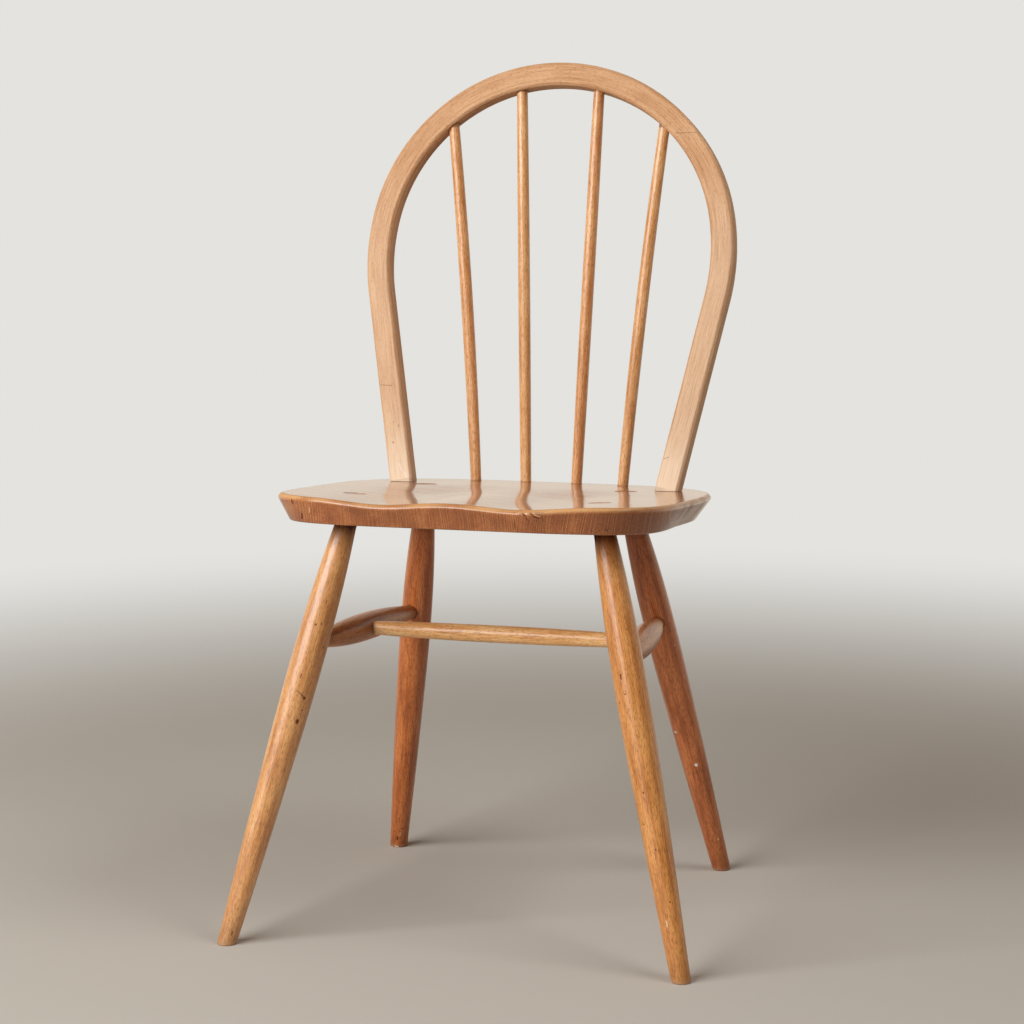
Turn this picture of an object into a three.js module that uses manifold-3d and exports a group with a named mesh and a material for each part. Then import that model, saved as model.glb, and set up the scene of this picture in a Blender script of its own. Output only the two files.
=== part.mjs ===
// A hoop-back spindle chair: a saddled elm seat on four turned and splayed beech legs,
// an H of turned stretchers, and a steam-bent beech hoop that holds four turned spindles.
// Millimetres, +Z up, the floor at z = 0, the front of the chair towards -Y, left at -X.

import * as THREE from 'three';
import { mergeVertices } from 'three/addons/utils/BufferGeometryUtils.js';
import { ParametricGeometry } from 'three/addons/geometries/ParametricGeometry.js';
import Module from 'manifold-3d';

const wasm = await Module();
wasm.setup();

// Seat: the outline is two half superellipses that meet on the seat's widest line.
const SEAT_HALF_WIDTH = 198;
const SEAT_WIDEST_Y = -47.5;
const SEAT_FRONT_REACH = 154;
const SEAT_BACK_REACH = 222;
const SEAT_FRONT_SQUARENESS = 4;
const SEAT_BACK_SQUARENESS = 3.5;
const SEAT_HEIGHT = 424.7; // height of the flat rim above the floor at y = 0
const SEAT_FALL = 0.094; // drop of the rim per millimetre towards the back
const SEAT_THICKNESS = 26.5;
const SEAT_EDGE_ROUND = 5;
const SEAT_FRONT_UNDERCUT = 10; // how far the bevelled edge draws in towards the underside
const SEAT_BACK_UNDERCUT = 17;
const UNDERCUT_FADE = { start: -0.7, end: 0.3 }; // sine of the angle round the outline

// Saddle: two hollows for the thighs, parted by a low ridge, fading out before the hoop.
const HOLLOW_DEPTH = 4.5;
const HOLLOW_X = 68;
const HOLLOW_SPREAD = 45;
const HOLLOW_FADE_START_Y = -45;
const HOLLOW_FADE_END_Y = 70;

// Legs: the top of the axis lies on the seat's rim plane, set in from the seat's side and from
// its front or back edge, and the splay leads from there to the foot on the floor.
const FRONT_LEG = { sideInset: 73.3, edgeInset: 93.3, splayX: 104.5, splayY: -100.8 };
const BACK_LEG = { sideInset: 87.6, edgeInset: 114.1, splayX: 74.8, splayY: 113.6 };
const LEG_FOOT_RADIUS = 9.3;
const LEG_SWELL_RADIUS = 16;
const LEG_TENON_RADIUS = 10.8;
const LEG_SWELL_DISTANCE = 269; // from the foot, along the leg, to its thickest place
const LEG_LOWER_TAPER = 1.4; // powers that shape the two tapers
const LEG_UPPER_TAPER = 2.4;
const LEG_NECK_LENGTH = 8; // straight neck below the seat before the taper starts

// Stretchers: heights are those of the axes on the axes of the legs.
const SIDE_STRETCHER_FRONT_HEIGHT = 289.6;
const SIDE_STRETCHER_BACK_HEIGHT = 278.9;
const SIDE_STRETCHER_RADIUS = 14;
const SIDE_STRETCHER_TENON_RADIUS = 7;
const CROSS_STRETCHER_SETBACK = 112; // along the side stretcher, from the front leg's axis
const CROSS_STRETCHER_RADIUS = 8.9;
const CROSS_STRETCHER_TENON_RADIUS = 7;
const STRETCHER_TAPER = 2.2;
const STRETCHER_NECK_LENGTH = 5; // straight neck outside the piece that takes the tenon
const STRETCHER_PAST_AXIS = 4; // how far a stretcher's tenon runs past the axis it meets

// Hoop: its outer edge is a top arc, a wider shoulder arc and a straight foot on each side.
// The top arc's radius follows from where the feet stand on the seat.
const HOOP_TOP_ANGLE = THREE.MathUtils.degToRad(78.9);
const HOOP_SHOULDER_RADIUS = 230.6;
const HOOP_SHOULDER_ANGLE = THREE.MathUtils.degToRad(22.1);
const HOOP_FOOT_LENGTH = 202.1;
const HOOP_WIDTH = 24;
const HOOP_DEPTH = 21;
const HOOP_EDGE_ROUND = 3;
const HOOP_LEAN = THREE.MathUtils.degToRad(15.2);
const HOOP_FOOT_SIDE_INSET = 35.1; // from the seat's side to the hoop's outer edge
const HOOP_FOOT_BACK_INSET = 91.8; // from the seat's back edge to the hoop's front face
const HOOP_TENON_RADIUS = 8;

// Spindles: where each pair stands on the seat, set in from its back edge, its angle from the
// top of the hoop, and how far it is sprung towards the middle of the chair.
const SPINDLE_PAIRS = [
  { place: 'inner', x: 27.6, inset: 17.3, hoopAngle: THREE.MathUtils.degToRad(14), bow: 0 },
  { place: 'outer', x: 79.9, inset: 23.2, hoopAngle: THREE.MathUtils.degToRad(41.4), bow: 2.2 },
];
const SPINDLE_RADIUS = 6.4;
const SPINDLE_END_RADIUS = 5.7;
const SPINDLE_SEAT_DEPTH = 16;
const SPINDLE_HOOP_DEPTH = 13;

// Wedges driven into saw cuts in the through tenons.
const WEDGE_HEAD = 3;
const WEDGE_TIP = 1;
const LEG_WEDGE_DEPTH = 19;
const HOOP_WEDGE_DEPTH = 16;

// Fits and finish.
const JOINT_GAP = 0.3; // clearance on every face where two pieces meet
const TENON_RECESS = 0.3; // a through tenon stops this far inside the seat's surface
const OVERRUN = 12; // spare length that is trimmed off again
const TRIM_HEIGHT = 100; // blocks that trim pieces to the seat or the floor
const TRIM_SPAN = 1200;
const TRIM_CELLS = 6;
const LEG_SIDES = 20;
const STRETCHER_SIDES = 16;
const SPINDLE_SIDES = 12;
const SOCKET_SIDES = 20;
const SEAT_SLICES = 64;
const HOOP_STEPS = 52;

const SIDES = [
  { side: 'left', sign: -1 },
  { side: 'right', sign: 1 },
];

const elm = { color: 0xa46a3a, roughness: 0.3, metalness: 0 };
const beechHoop = { color: 0xc69766, roughness: 0.45, metalness: 0 };
const beechSpindle = { color: 0xb97a3c, roughness: 0.3, metalness: 0 };
const beechLeg = { color: 0xb6763a, roughness: 0.35, metalness: 0 };
const wedgeWood = { color: 0x7d4a26, roughness: 0.5, metalness: 0 };

// Solids from geometries, and back

function toSolid(geometry) {
  const bare = geometry.clone();
  bare.deleteAttribute('normal');
  bare.deleteAttribute('uv');
  const merged = mergeVertices(bare);
  const corners = merged.index.array;
  const triangles = [];
  for (let i = 0; i < corners.length; i += 3) {
    const [a, b, c] = corners.slice(i, i + 3);
    if (a !== b && b !== c && c !== a) {
      triangles.push(a, b, c);
    }
  }
  return new wasm.Manifold(new wasm.Mesh({
    numProp: 3,
    vertProperties: new Float32Array(merged.attributes.position.array),
    triVerts: new Uint32Array(triangles),
  }));
}

function toGeometry(solid) {
  const mesh = solid.getMesh();
  const geometry = new THREE.BufferGeometry();
  geometry.setAttribute('position', new THREE.BufferAttribute(mesh.vertProperties, 3));
  geometry.setIndex(new THREE.BufferAttribute(mesh.triVerts, 1));
  geometry.computeVertexNormals();
  return geometry;
}

// The same geometry, moved from the chair's frame into the frame of one piece.
function inFrame(geometry, frame) {
  return geometry.clone().applyMatrix4(frame.clone().invert());
}

function subtractAll(solid, cutters, frame) {
  return cutters.reduce((rest, cutter) => rest.subtract(toSolid(inFrame(cutter, frame))), solid);
}

// A frame with its origin at one point and its +Z axis towards another.
function axisFrame(from, to) {
  const direction = to.clone().sub(from).normalize();
  const turn = new THREE.Quaternion().setFromUnitVectors(new THREE.Vector3(0, 0, 1), direction);
  return new THREE.Matrix4().compose(from, turn, new THREE.Vector3(1, 1, 1));
}

// A turned piece along +Z, from one station to the last, with a radius for each station.
function turned(stations, radiusAt, sides) {
  const profile = stations.map((s) => new THREE.Vector2(radiusAt(s), s));
  profile.unshift(new THREE.Vector2(0, stations[0]));
  profile.push(new THREE.Vector2(0, stations[stations.length - 1]));
  return new THREE.LatheGeometry(profile, sides).rotateX(Math.PI / 2);
}

function evenStations(from, to, count) {
  return Array.from({ length: count + 1 }, (_, i) => from + ((to - from) * i) / count);
}

// A round bar between two points of the chair, run on past each of them.
function bar(from, to, radius, before, after) {
  const length = from.distanceTo(to);
  const frame = axisFrame(from, to);
  return turned([-before, length + after], () => radius, SOCKET_SIDES).applyMatrix4(frame);
}

function pointAlong(from, to, distance) {
  return from.clone().add(to.clone().sub(from).setLength(distance));
}

// A wedge with its thin end down, its flat sides facing +Y and -Y and its head at z = 0.
function wedgeBlank(length, depth, clearance) {
  const height = depth + OVERRUN;
  const blank = new THREE.BoxGeometry(length, 1, height).translate(0, 0, height / 2 - depth);
  const position = blank.attributes.position;
  for (let i = 0; i < position.count; i += 1) {
    const grade = (position.getZ(i) + depth) / depth;
    const thickness = WEDGE_TIP + (WEDGE_HEAD - WEDGE_TIP) * grade + 2 * clearance;
    position.setY(i, position.getY(i) * thickness);
  }
  return blank.translate(0, 0, -clearance);
}

// Seat surface

function smoothFade(value, start, end) {
  return 1 - THREE.MathUtils.smoothstep(value, start, end);
}

function rimHeight(y) {
  return SEAT_HEIGHT - SEAT_FALL * y;
}

function hollow(x, y) {
  const left = Math.exp(-(((x + HOLLOW_X) / HOLLOW_SPREAD) ** 2));
  const right = Math.exp(-(((x - HOLLOW_X) / HOLLOW_SPREAD) ** 2));
  return HOLLOW_DEPTH * (left + right) * smoothFade(y, HOLLOW_FADE_START_Y, HOLLOW_FADE_END_Y);
}

function seatTop(x, y) {
  return rimHeight(y) - hollow(x, y);
}

// The outline's front edge or back edge on the middle line of the chair.
const SEAT_FRONT_Y = SEAT_WIDEST_Y - SEAT_FRONT_REACH;
const SEAT_BACK_Y = SEAT_WIDEST_Y + SEAT_BACK_REACH;

function outlineHalfWidth(y) {
  const atFront = y < SEAT_WIDEST_Y;
  const reach = atFront ? SEAT_FRONT_REACH : SEAT_BACK_REACH;
  const power = atFront ? SEAT_FRONT_SQUARENESS : SEAT_BACK_SQUARENESS;
  return SEAT_HALF_WIDTH * (1 - (Math.abs(y - SEAT_WIDEST_Y) / reach) ** power) ** (1 / power);
}

function outlineBack(x) {
  const across = (Math.abs(x) / SEAT_HALF_WIDTH) ** SEAT_BACK_SQUARENESS;
  return SEAT_WIDEST_Y + SEAT_BACK_REACH * (1 - across) ** (1 / SEAT_BACK_SQUARENESS);
}

// Distance from the middle of the widest line to the outline, at an angle from +X.
function outlineReach(angle) {
  const atFront = Math.sin(angle) < 0;
  const reach = atFront ? SEAT_FRONT_REACH : SEAT_BACK_REACH;
  const power = atFront ? SEAT_FRONT_SQUARENESS : SEAT_BACK_SQUARENESS;
  const across = Math.abs(Math.cos(angle) / SEAT_HALF_WIDTH) ** power;
  const along = Math.abs(Math.sin(angle) / reach) ** power;
  return (across + along) ** (-1 / power);
}

// The bevel under the edge is narrow along the front and wide round the sides and the back.
function undercut(angle) {
  const share = 1 - smoothFade(Math.sin(angle), UNDERCUT_FADE.start, UNDERCUT_FADE.end);
  return SEAT_FRONT_UNDERCUT + (SEAT_BACK_UNDERCUT - SEAT_FRONT_UNDERCUT) * share;
}

// Rings of the seat from the middle of the underside, round the edge, to the middle of the top.
function seatRings() {
  const rings = [];
  for (const share of [0, 0.5, 1]) {
    rings.push({ share, under: true });
  }
  for (const turn of [0, 0.25, 0.5, 0.75, 1]) {
    const angle = (turn * Math.PI) / 2;
    const inset = SEAT_EDGE_ROUND * (1 - Math.cos(angle));
    rings.push({ share: 1, inset, drop: SEAT_EDGE_ROUND * (1 - Math.sin(angle)) });
  }
  for (const share of [0.92, 0.83, 0.72, 0.6, 0.46, 0.3, 0.15, 0]) {
    rings.push({ share, inset: SEAT_EDGE_ROUND, drop: 0 });
  }
  return rings;
}

function seatBlank() {
  const rings = seatRings();
  const surface = (u, v, target) => {
    const ring = rings[Math.round(v * (rings.length - 1))];
    const angle = u * 2 * Math.PI;
    const inset = ring.under ? undercut(angle) : ring.inset;
    const reach = (outlineReach(angle) - inset) * ring.share;
    const x = reach * Math.cos(angle);
    const y = SEAT_WIDEST_Y + reach * Math.sin(angle);
    const z = ring.under ? rimHeight(y) - SEAT_THICKNESS : seatTop(x, y) - ring.drop;
    target.set(x, y, z);
  };
  return new ParametricGeometry(surface, SEAT_SLICES, rings.length - 1);
}

// A block whose underside follows the seat's top, for trimming what passes through it.
function aboveSeat(x, y, halfSize) {
  const size = 2 * halfSize;
  const block = new THREE.BoxGeometry(size, size, TRIM_HEIGHT, TRIM_CELLS, TRIM_CELLS, 1);
  block.translate(x, y, 0);
  const position = block.attributes.position;
  for (let i = 0; i < position.count; i += 1) {
    const surface = seatTop(position.getX(i), position.getY(i)) - TENON_RECESS;
    position.setZ(i, position.getZ(i) < 0 ? surface : surface + TRIM_HEIGHT);
  }
  return block;
}

// A wide slab with its top face at z = 0.
function trimSlab() {
  return new THREE.BoxGeometry(TRIM_SPAN, TRIM_SPAN, TRIM_HEIGHT).translate(0, 0, -TRIM_HEIGHT / 2);
}

// A block under a plane that runs with the rim of the seat, lowered by a given depth.
function belowRim(depth) {
  const block = trimSlab();
  block.rotateX(-Math.atan(SEAT_FALL));
  return block.translate(0, 0, SEAT_HEIGHT - depth);
}

// Legs

function legAxis(leg, topY, sign) {
  const topX = outlineHalfWidth(topY) - leg.sideInset;
  const start = new THREE.Vector3(sign * (topX + leg.splayX), topY + leg.splayY, 0);
  const end = new THREE.Vector3(sign * topX, topY, rimHeight(topY));
  return { start, end, length: start.distanceTo(end), frame: axisFrame(start, end) };
}

function legPointAtHeight(leg, height) {
  return leg.start.clone().lerp(leg.end, height / leg.end.z);
}

function legGeometry(leg) {
  const neck = leg.length - SEAT_THICKNESS - LEG_NECK_LENGTH;
  const radiusAt = (s) => {
    const below = Math.max(0, (LEG_SWELL_DISTANCE - Math.max(s, 0)) / LEG_SWELL_DISTANCE);
    const above = Math.max(0, (Math.min(s, neck) - LEG_SWELL_DISTANCE) / (neck - LEG_SWELL_DISTANCE));
    const lower = (LEG_SWELL_RADIUS - LEG_FOOT_RADIUS) * below ** LEG_LOWER_TAPER;
    const upper = (LEG_SWELL_RADIUS - LEG_TENON_RADIUS) * above ** LEG_UPPER_TAPER;
    return LEG_SWELL_RADIUS - lower - upper;
  };
  const stations = [
    -OVERRUN,
    ...evenStations(0, LEG_SWELL_DISTANCE, 7),
    ...evenStations(LEG_SWELL_DISTANCE, neck, 6).slice(1),
    leg.length + OVERRUN,
  ];
  return turned(stations, radiusAt, LEG_SIDES);
}

// Stretchers

// A turned bar that is thickest at one place and tapers to a tenon towards each end.
function stretcherGeometry(length, thickest, radius, tenonRadius, hostRadius) {
  const neck = hostRadius + STRETCHER_NECK_LENGTH;
  const radiusAt = (s) => {
    const reach = (s < thickest ? thickest : length - thickest) - neck;
    const share = Math.min(1, Math.abs(s - thickest) / reach);
    return radius - (radius - tenonRadius) * share ** STRETCHER_TAPER;
  };
  const stations = [
    -STRETCHER_PAST_AXIS,
    ...evenStations(neck, thickest, 6),
    ...evenStations(thickest, length - neck, 6).slice(1),
    length + STRETCHER_PAST_AXIS,
  ];
  return turned(stations, radiusAt, STRETCHER_SIDES);
}

function stretcherSocket(from, to, tenonRadius) {
  const past = STRETCHER_PAST_AXIS + JOINT_GAP;
  return bar(from, to, tenonRadius + JOINT_GAP, past, past);
}

// Hoop

const HOOP_FOOT_Y = SEAT_BACK_Y - HOOP_FOOT_BACK_INSET;
const HOOP_FULL_ANGLE = HOOP_TOP_ANGLE + HOOP_SHOULDER_ANGLE;

// Radius of the top arc that brings the outer edges of the feet to their places on the seat.
const HOOP_TOP_RADIUS = (
  outlineHalfWidth(HOOP_FOOT_Y) - HOOP_FOOT_SIDE_INSET
  - HOOP_SHOULDER_RADIUS * (Math.sin(HOOP_FULL_ANGLE) - Math.sin(HOOP_TOP_ANGLE))
  - HOOP_FOOT_LENGTH * Math.cos(HOOP_FULL_ANGLE)
) / Math.sin(HOOP_TOP_ANGLE);

// The middle line of the hoop in its own plane: x across the chair, y up the leaning back.
class HoopLine extends THREE.Curve {
  constructor(footOverrun) {
    super();
    this.topRadius = HOOP_TOP_RADIUS - HOOP_WIDTH / 2;
    this.shoulderRadius = HOOP_SHOULDER_RADIUS - HOOP_WIDTH / 2;
    this.topArc = this.topRadius * HOOP_TOP_ANGLE;
    this.shoulderArc = this.shoulderRadius * HOOP_SHOULDER_ANGLE;
    this.halfLength = this.topArc + this.shoulderArc + HOOP_FOOT_LENGTH + footOverrun;
  }

  getPoint(t, target = new THREE.Vector3()) {
    const signed = (2 * t - 1) * this.halfLength;
    const run = Math.abs(signed);
    const topAngle = Math.min(run, this.topArc) / this.topRadius;
    const past = Math.min(Math.max(run - this.topArc, 0), this.shoulderArc);
    const fullAngle = topAngle + past / this.shoulderRadius;
    const straight = Math.max(run - this.topArc - this.shoulderArc, 0);
    const x = this.topRadius * Math.sin(topAngle)
      + this.shoulderRadius * (Math.sin(fullAngle) - Math.sin(topAngle))
      + straight * Math.cos(fullAngle);
    const fall = this.topRadius * (1 - Math.cos(topAngle))
      + this.shoulderRadius * (Math.cos(topAngle) - Math.cos(fullAngle))
      + straight * Math.sin(fullAngle);
    return target.set(Math.sign(signed) * x, hoopHeight() - HOOP_WIDTH / 2 - fall, -HOOP_DEPTH / 2);
  }
}

// Height of the hoop's outer edge above its foot, measured up the leaning back.
function hoopHeight() {
  return HOOP_TOP_RADIUS * (1 - Math.cos(HOOP_TOP_ANGLE))
    + HOOP_SHOULDER_RADIUS * (Math.cos(HOOP_TOP_ANGLE) - Math.cos(HOOP_FULL_ANGLE))
    + HOOP_FOOT_LENGTH * Math.sin(HOOP_FULL_ANGLE);
}

function hoopFrame() {
  const turn = new THREE.Matrix4().makeRotationX(Math.PI / 2 - HOOP_LEAN);
  return turn.setPosition(0, HOOP_FOOT_Y, rimHeight(HOOP_FOOT_Y));
}

function hoopSection() {
  const halfDepth = HOOP_DEPTH / 2;
  const halfWidth = HOOP_WIDTH / 2;
  const corner = HOOP_EDGE_ROUND;
  const section = new THREE.Shape();
  section.absarc(halfDepth - corner, halfWidth - corner, corner, 0, Math.PI / 2);
  section.absarc(corner - halfDepth, halfWidth - corner, corner, Math.PI / 2, Math.PI);
  section.absarc(corner - halfDepth, corner - halfWidth, corner, Math.PI, 1.5 * Math.PI);
  section.absarc(halfDepth - corner, corner - halfWidth, corner, 1.5 * Math.PI, 2 * Math.PI);
  return section;
}

// The middle of the hoop's foot and the direction of its tenon, in the chair's frame.
function hoopFootAxis(sign) {
  const foot = new HoopLine(0).getPoint(sign < 0 ? 0 : 1);
  const below = new THREE.Vector3(
    sign * Math.cos(HOOP_FULL_ANGLE),
    -Math.sin(HOOP_FULL_ANGLE),
    0,
  );
  const frame = hoopFrame();
  const end = foot.clone().addScaledVector(below, 2 * SEAT_THICKNESS);
  return { start: foot.applyMatrix4(frame), end: end.applyMatrix4(frame) };
}

// Where a spindle meets the hoop's inner edge, half way through the hoop's depth.
function hoopInnerPoint(angle, sign) {
  const radius = HOOP_TOP_RADIUS - HOOP_WIDTH;
  const middle = hoopHeight() - HOOP_TOP_RADIUS;
  const x = sign * radius * Math.sin(angle);
  const point = new THREE.Vector3(x, middle + radius * Math.cos(angle), -HOOP_DEPTH / 2);
  return point.applyMatrix4(hoopFrame());
}

// Axes of the pieces, shared by each piece and the sockets that take it

const legs = [];
for (const { side, sign } of SIDES) {
  const frontTopY = SEAT_FRONT_Y + FRONT_LEG.edgeInset;
  const backTopY = SEAT_BACK_Y - BACK_LEG.edgeInset;
  legs.push({ name: `front_${side}`, side, ...legAxis(FRONT_LEG, frontTopY, sign) });
  legs.push({ name: `back_${side}`, side, ...legAxis(BACK_LEG, backTopY, sign) });
}

const sideStretchers = SIDES.map(({ side }) => {
  const [front, back] = legs.filter((leg) => leg.side === side);
  const start = legPointAtHeight(front, SIDE_STRETCHER_FRONT_HEIGHT);
  const end = legPointAtHeight(back, SIDE_STRETCHER_BACK_HEIGHT);
  return { side, start, end, meeting: pointAlong(start, end, CROSS_STRETCHER_SETBACK) };
});

const spindles = [];
for (const { side, sign } of SIDES) {
  for (const { place, x, inset, hoopAngle, bow } of SPINDLE_PAIRS) {
    const y = outlineBack(x) - inset;
    const start = new THREE.Vector3(sign * x, y, seatTop(x, y));
    const end = hoopInnerPoint(hoopAngle, sign);
    spindles.push({ name: `${side}_${place}`, start, end, spring: -sign * bow });
  }
}

const hoopFeet = SIDES.map(({ side, sign }) => ({ side, ...hoopFootAxis(sign) }));

// The chair

const chair = new THREE.Group();
const underframe = new THREE.Group();
const back = new THREE.Group();
chair.add(underframe, back);

function addPiece(parent, name, solid, finish, frame) {
  const mesh = new THREE.Mesh(toGeometry(solid), new THREE.MeshStandardMaterial(finish));
  mesh.name = name;
  mesh.applyMatrix4(frame);
  parent.add(mesh);
}

function addSeat() {
  const through = 2 * SEAT_THICKNESS;
  const sockets = [
    ...legs.map(({ start, end }) => {
      const under = pointAlong(end, start, through);
      return bar(under, end, LEG_TENON_RADIUS + JOINT_GAP, 0, OVERRUN);
    }),
    ...spindles.map(({ start, end }) => bar(
      start,
      end,
      SPINDLE_END_RADIUS + JOINT_GAP,
      SPINDLE_SEAT_DEPTH + JOINT_GAP,
      0,
    )),
    ...hoopFeet.map(({ start, end }) => bar(start, end, HOOP_TENON_RADIUS + JOINT_GAP, OVERRUN, 0)),
  ];
  const frame = new THREE.Matrix4();
  addPiece(chair, 'seat', subtractAll(toSolid(seatBlank()), sockets, frame), elm, frame);
}

function addLegs() {
  for (const leg of legs) {
    const head = new THREE.Matrix4().makeTranslation(0, 0, leg.length);
    const top = aboveSeat(leg.end.x, leg.end.y, 4 * LEG_TENON_RADIUS);
    const sockets = sideStretchers
      .filter(({ side }) => side === leg.side)
      .map(({ start, end }) => stretcherSocket(start, end, SIDE_STRETCHER_TENON_RADIUS));
    const kerf = wedgeBlank(4 * LEG_TENON_RADIUS, LEG_WEDGE_DEPTH, JOINT_GAP).applyMatrix4(head);
    const whole = toSolid(legGeometry(leg)).subtract(toSolid(kerf));
    const solid = subtractAll(whole, [trimSlab(), top, ...sockets], leg.frame);
    addPiece(underframe, `leg_${leg.name}`, solid, beechLeg, leg.frame);

    const blank = wedgeBlank(4 * LEG_TENON_RADIUS, LEG_WEDGE_DEPTH, 0).applyMatrix4(head);
    const bore = turned([0, leg.length + OVERRUN], () => LEG_TENON_RADIUS, LEG_SIDES);
    const wedge = subtractAll(toSolid(blank).intersect(toSolid(bore)), [top], leg.frame);
    addPiece(underframe, `leg_wedge_${leg.name}`, wedge, wedgeWood, leg.frame);
  }
}

function addStretchers() {
  const [left, right] = sideStretchers;
  const crossSocket = stretcherSocket(left.meeting, right.meeting, CROSS_STRETCHER_TENON_RADIUS);
  for (const { side, start, end } of sideStretchers) {
    const frame = axisFrame(start, end);
    const geometry = stretcherGeometry(
      start.distanceTo(end),
      CROSS_STRETCHER_SETBACK,
      SIDE_STRETCHER_RADIUS,
      SIDE_STRETCHER_TENON_RADIUS,
      LEG_SWELL_RADIUS,
    );
    const solid = subtractAll(toSolid(geometry), [crossSocket], frame);
    addPiece(underframe, `side_stretcher_${side}`, solid, beechLeg, frame);
  }
  const span = left.meeting.distanceTo(right.meeting);
  const cross = stretcherGeometry(
    span,
    span / 2,
    CROSS_STRETCHER_RADIUS,
    CROSS_STRETCHER_TENON_RADIUS,
    SIDE_STRETCHER_RADIUS,
  );
  const crossFrame = axisFrame(left.meeting, right.meeting);
  addPiece(underframe, 'cross_stretcher', toSolid(cross), beechLeg, crossFrame);
}

function addHoop() {
  const frame = hoopFrame();
  const bent = new THREE.ExtrudeGeometry(hoopSection(), {
    steps: HOOP_STEPS,
    curveSegments: 2,
    extrudePath: new HoopLine(OVERRUN),
  });
  let solid = subtractAll(toSolid(bent), [belowRim(-JOINT_GAP)], frame);
  for (const { start, end } of hoopFeet) {
    solid = solid.add(toSolid(inFrame(bar(start, end, HOOP_TENON_RADIUS, OVERRUN, 0), frame)));
  }
  const cuts = [belowRim(SEAT_THICKNESS - TENON_RECESS)];
  for (const { start, end } of spindles) {
    const depth = SPINDLE_HOOP_DEPTH + JOINT_GAP;
    cuts.push(bar(start, end, SPINDLE_END_RADIUS + JOINT_GAP, 0, depth));
  }
  for (const { side, start, end } of hoopFeet) {
    const wedgeFrame = axisFrame(start, end);
    const distance = SEAT_THICKNESS / Math.cos(HOOP_LEAN);
    const head = new THREE.Matrix4().makeTranslation(0, 0, distance);
    const length = 4 * HOOP_TENON_RADIUS;
    const kerf = wedgeBlank(length, HOOP_WEDGE_DEPTH, JOINT_GAP).applyMatrix4(head);
    cuts.push(kerf.applyMatrix4(wedgeFrame));

    const blank = wedgeBlank(length, HOOP_WEDGE_DEPTH, 0).applyMatrix4(head);
    const bore = turned([0, distance + OVERRUN], () => HOOP_TENON_RADIUS, SOCKET_SIDES);
    const trim = [belowRim(SEAT_THICKNESS - TENON_RECESS)];
    const wedge = subtractAll(toSolid(blank).intersect(toSolid(bore)), trim, wedgeFrame);
    addPiece(back, `hoop_wedge_${side}`, wedge, wedgeWood, wedgeFrame);
  }
  addPiece(back, 'hoop', subtractAll(solid, cuts, frame), beechHoop, frame);
}

function addSpindles() {
  for (const { name, start, end, spring } of spindles) {
    const length = start.distanceTo(end);
    const swellAt = (s) => 1 - Math.min(1, Math.abs((2 * s) / length - 1)) ** 2;
    const radiusAt = (s) => (
      SPINDLE_END_RADIUS + (SPINDLE_RADIUS - SPINDLE_END_RADIUS) * swellAt(s)
    );
    const stations = [
      -SPINDLE_SEAT_DEPTH,
      ...evenStations(0, length, 8),
      length + SPINDLE_HOOP_DEPTH,
    ];
    const geometry = turned(stations, radiusAt, SPINDLE_SIDES);
    const position = geometry.attributes.position;
    for (let i = 0; i < position.count; i += 1) {
      position.setX(i, position.getX(i) + spring * swellAt(position.getZ(i)));
    }
    addPiece(back, `spindle_${name}`, toSolid(geometry), beechSpindle, axisFrame(start, end));
  }
}

addSeat();
addLegs();
addStretchers();
addHoop();
addSpindles();

export default chair;
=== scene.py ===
"""A worn hoop-back spindle chair in clear-finished beech and elm, dressed around its CAD frame.

Sizes are in millimetres in the chair's frame: +Z up, the front towards -Y, the left towards -X.
"""

import logging
import math
from dataclasses import dataclass, field
from enum import Enum
from typing import Any, Mapping, Sequence

import bpy
import numpy as np
from mathutils import Matrix, Vector


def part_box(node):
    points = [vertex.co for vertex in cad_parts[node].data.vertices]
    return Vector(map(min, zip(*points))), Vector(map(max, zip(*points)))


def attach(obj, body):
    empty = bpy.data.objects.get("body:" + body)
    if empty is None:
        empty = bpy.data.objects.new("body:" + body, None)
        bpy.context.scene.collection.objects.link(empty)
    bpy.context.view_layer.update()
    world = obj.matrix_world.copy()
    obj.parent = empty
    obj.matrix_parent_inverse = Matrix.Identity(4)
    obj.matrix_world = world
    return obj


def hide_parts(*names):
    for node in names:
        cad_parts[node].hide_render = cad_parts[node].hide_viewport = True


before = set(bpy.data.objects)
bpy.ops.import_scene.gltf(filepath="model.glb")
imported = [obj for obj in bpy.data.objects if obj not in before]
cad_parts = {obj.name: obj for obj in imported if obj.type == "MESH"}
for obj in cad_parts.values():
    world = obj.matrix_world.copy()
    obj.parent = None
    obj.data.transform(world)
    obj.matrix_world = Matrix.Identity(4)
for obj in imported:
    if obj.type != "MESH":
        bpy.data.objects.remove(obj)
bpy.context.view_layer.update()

MM = 0.001
BODY = "root"
DRESSED = "dressed_"  # stands before the name of the CAD node that a piece replaces
SIDES = (("left", -1.0), ("right", 1.0))
JOINT_GAP = 0.3  # clearance on every face where two pieces meet
TENON_RECESS = 0.3  # a through tenon stops this far inside the seat's surface
OVERRUN = 12.0  # spare length that is trimmed off again
TRIM_SPAN = 1200.0
TRIM_HEIGHT = 100.0
SHARP_ANGLE = math.radians(38.0)  # edges that turn more than this are drawn as creases
SOCKET_SIDES = 72
TOOL_SPAN = 4  # cutters for a tenon reach this many of its radii to each side
RING_CROWDING = 0.85  # how far a turned bar's rings crowd towards its ends, from 0 to 1
HAND_TURNED = 0.012  # share by which hand turning leaves a bar thinner in places
HAND_WAVES = (90.0, 55.0, 140.0)  # lengths of that unevenness
WEDGE_HEAD = 3.0  # thickness of a wedge at its head
WEDGE_TIP = 1.0  # and at its tip
GRAIN_SHIFT = (37.0, 0.0, 91.0)  # keeps pieces that share a material from looking alike

log = logging.getLogger("chair")

Faces = list[tuple[int, ...]]
Place = tuple[float, float]


# Small helpers

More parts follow.
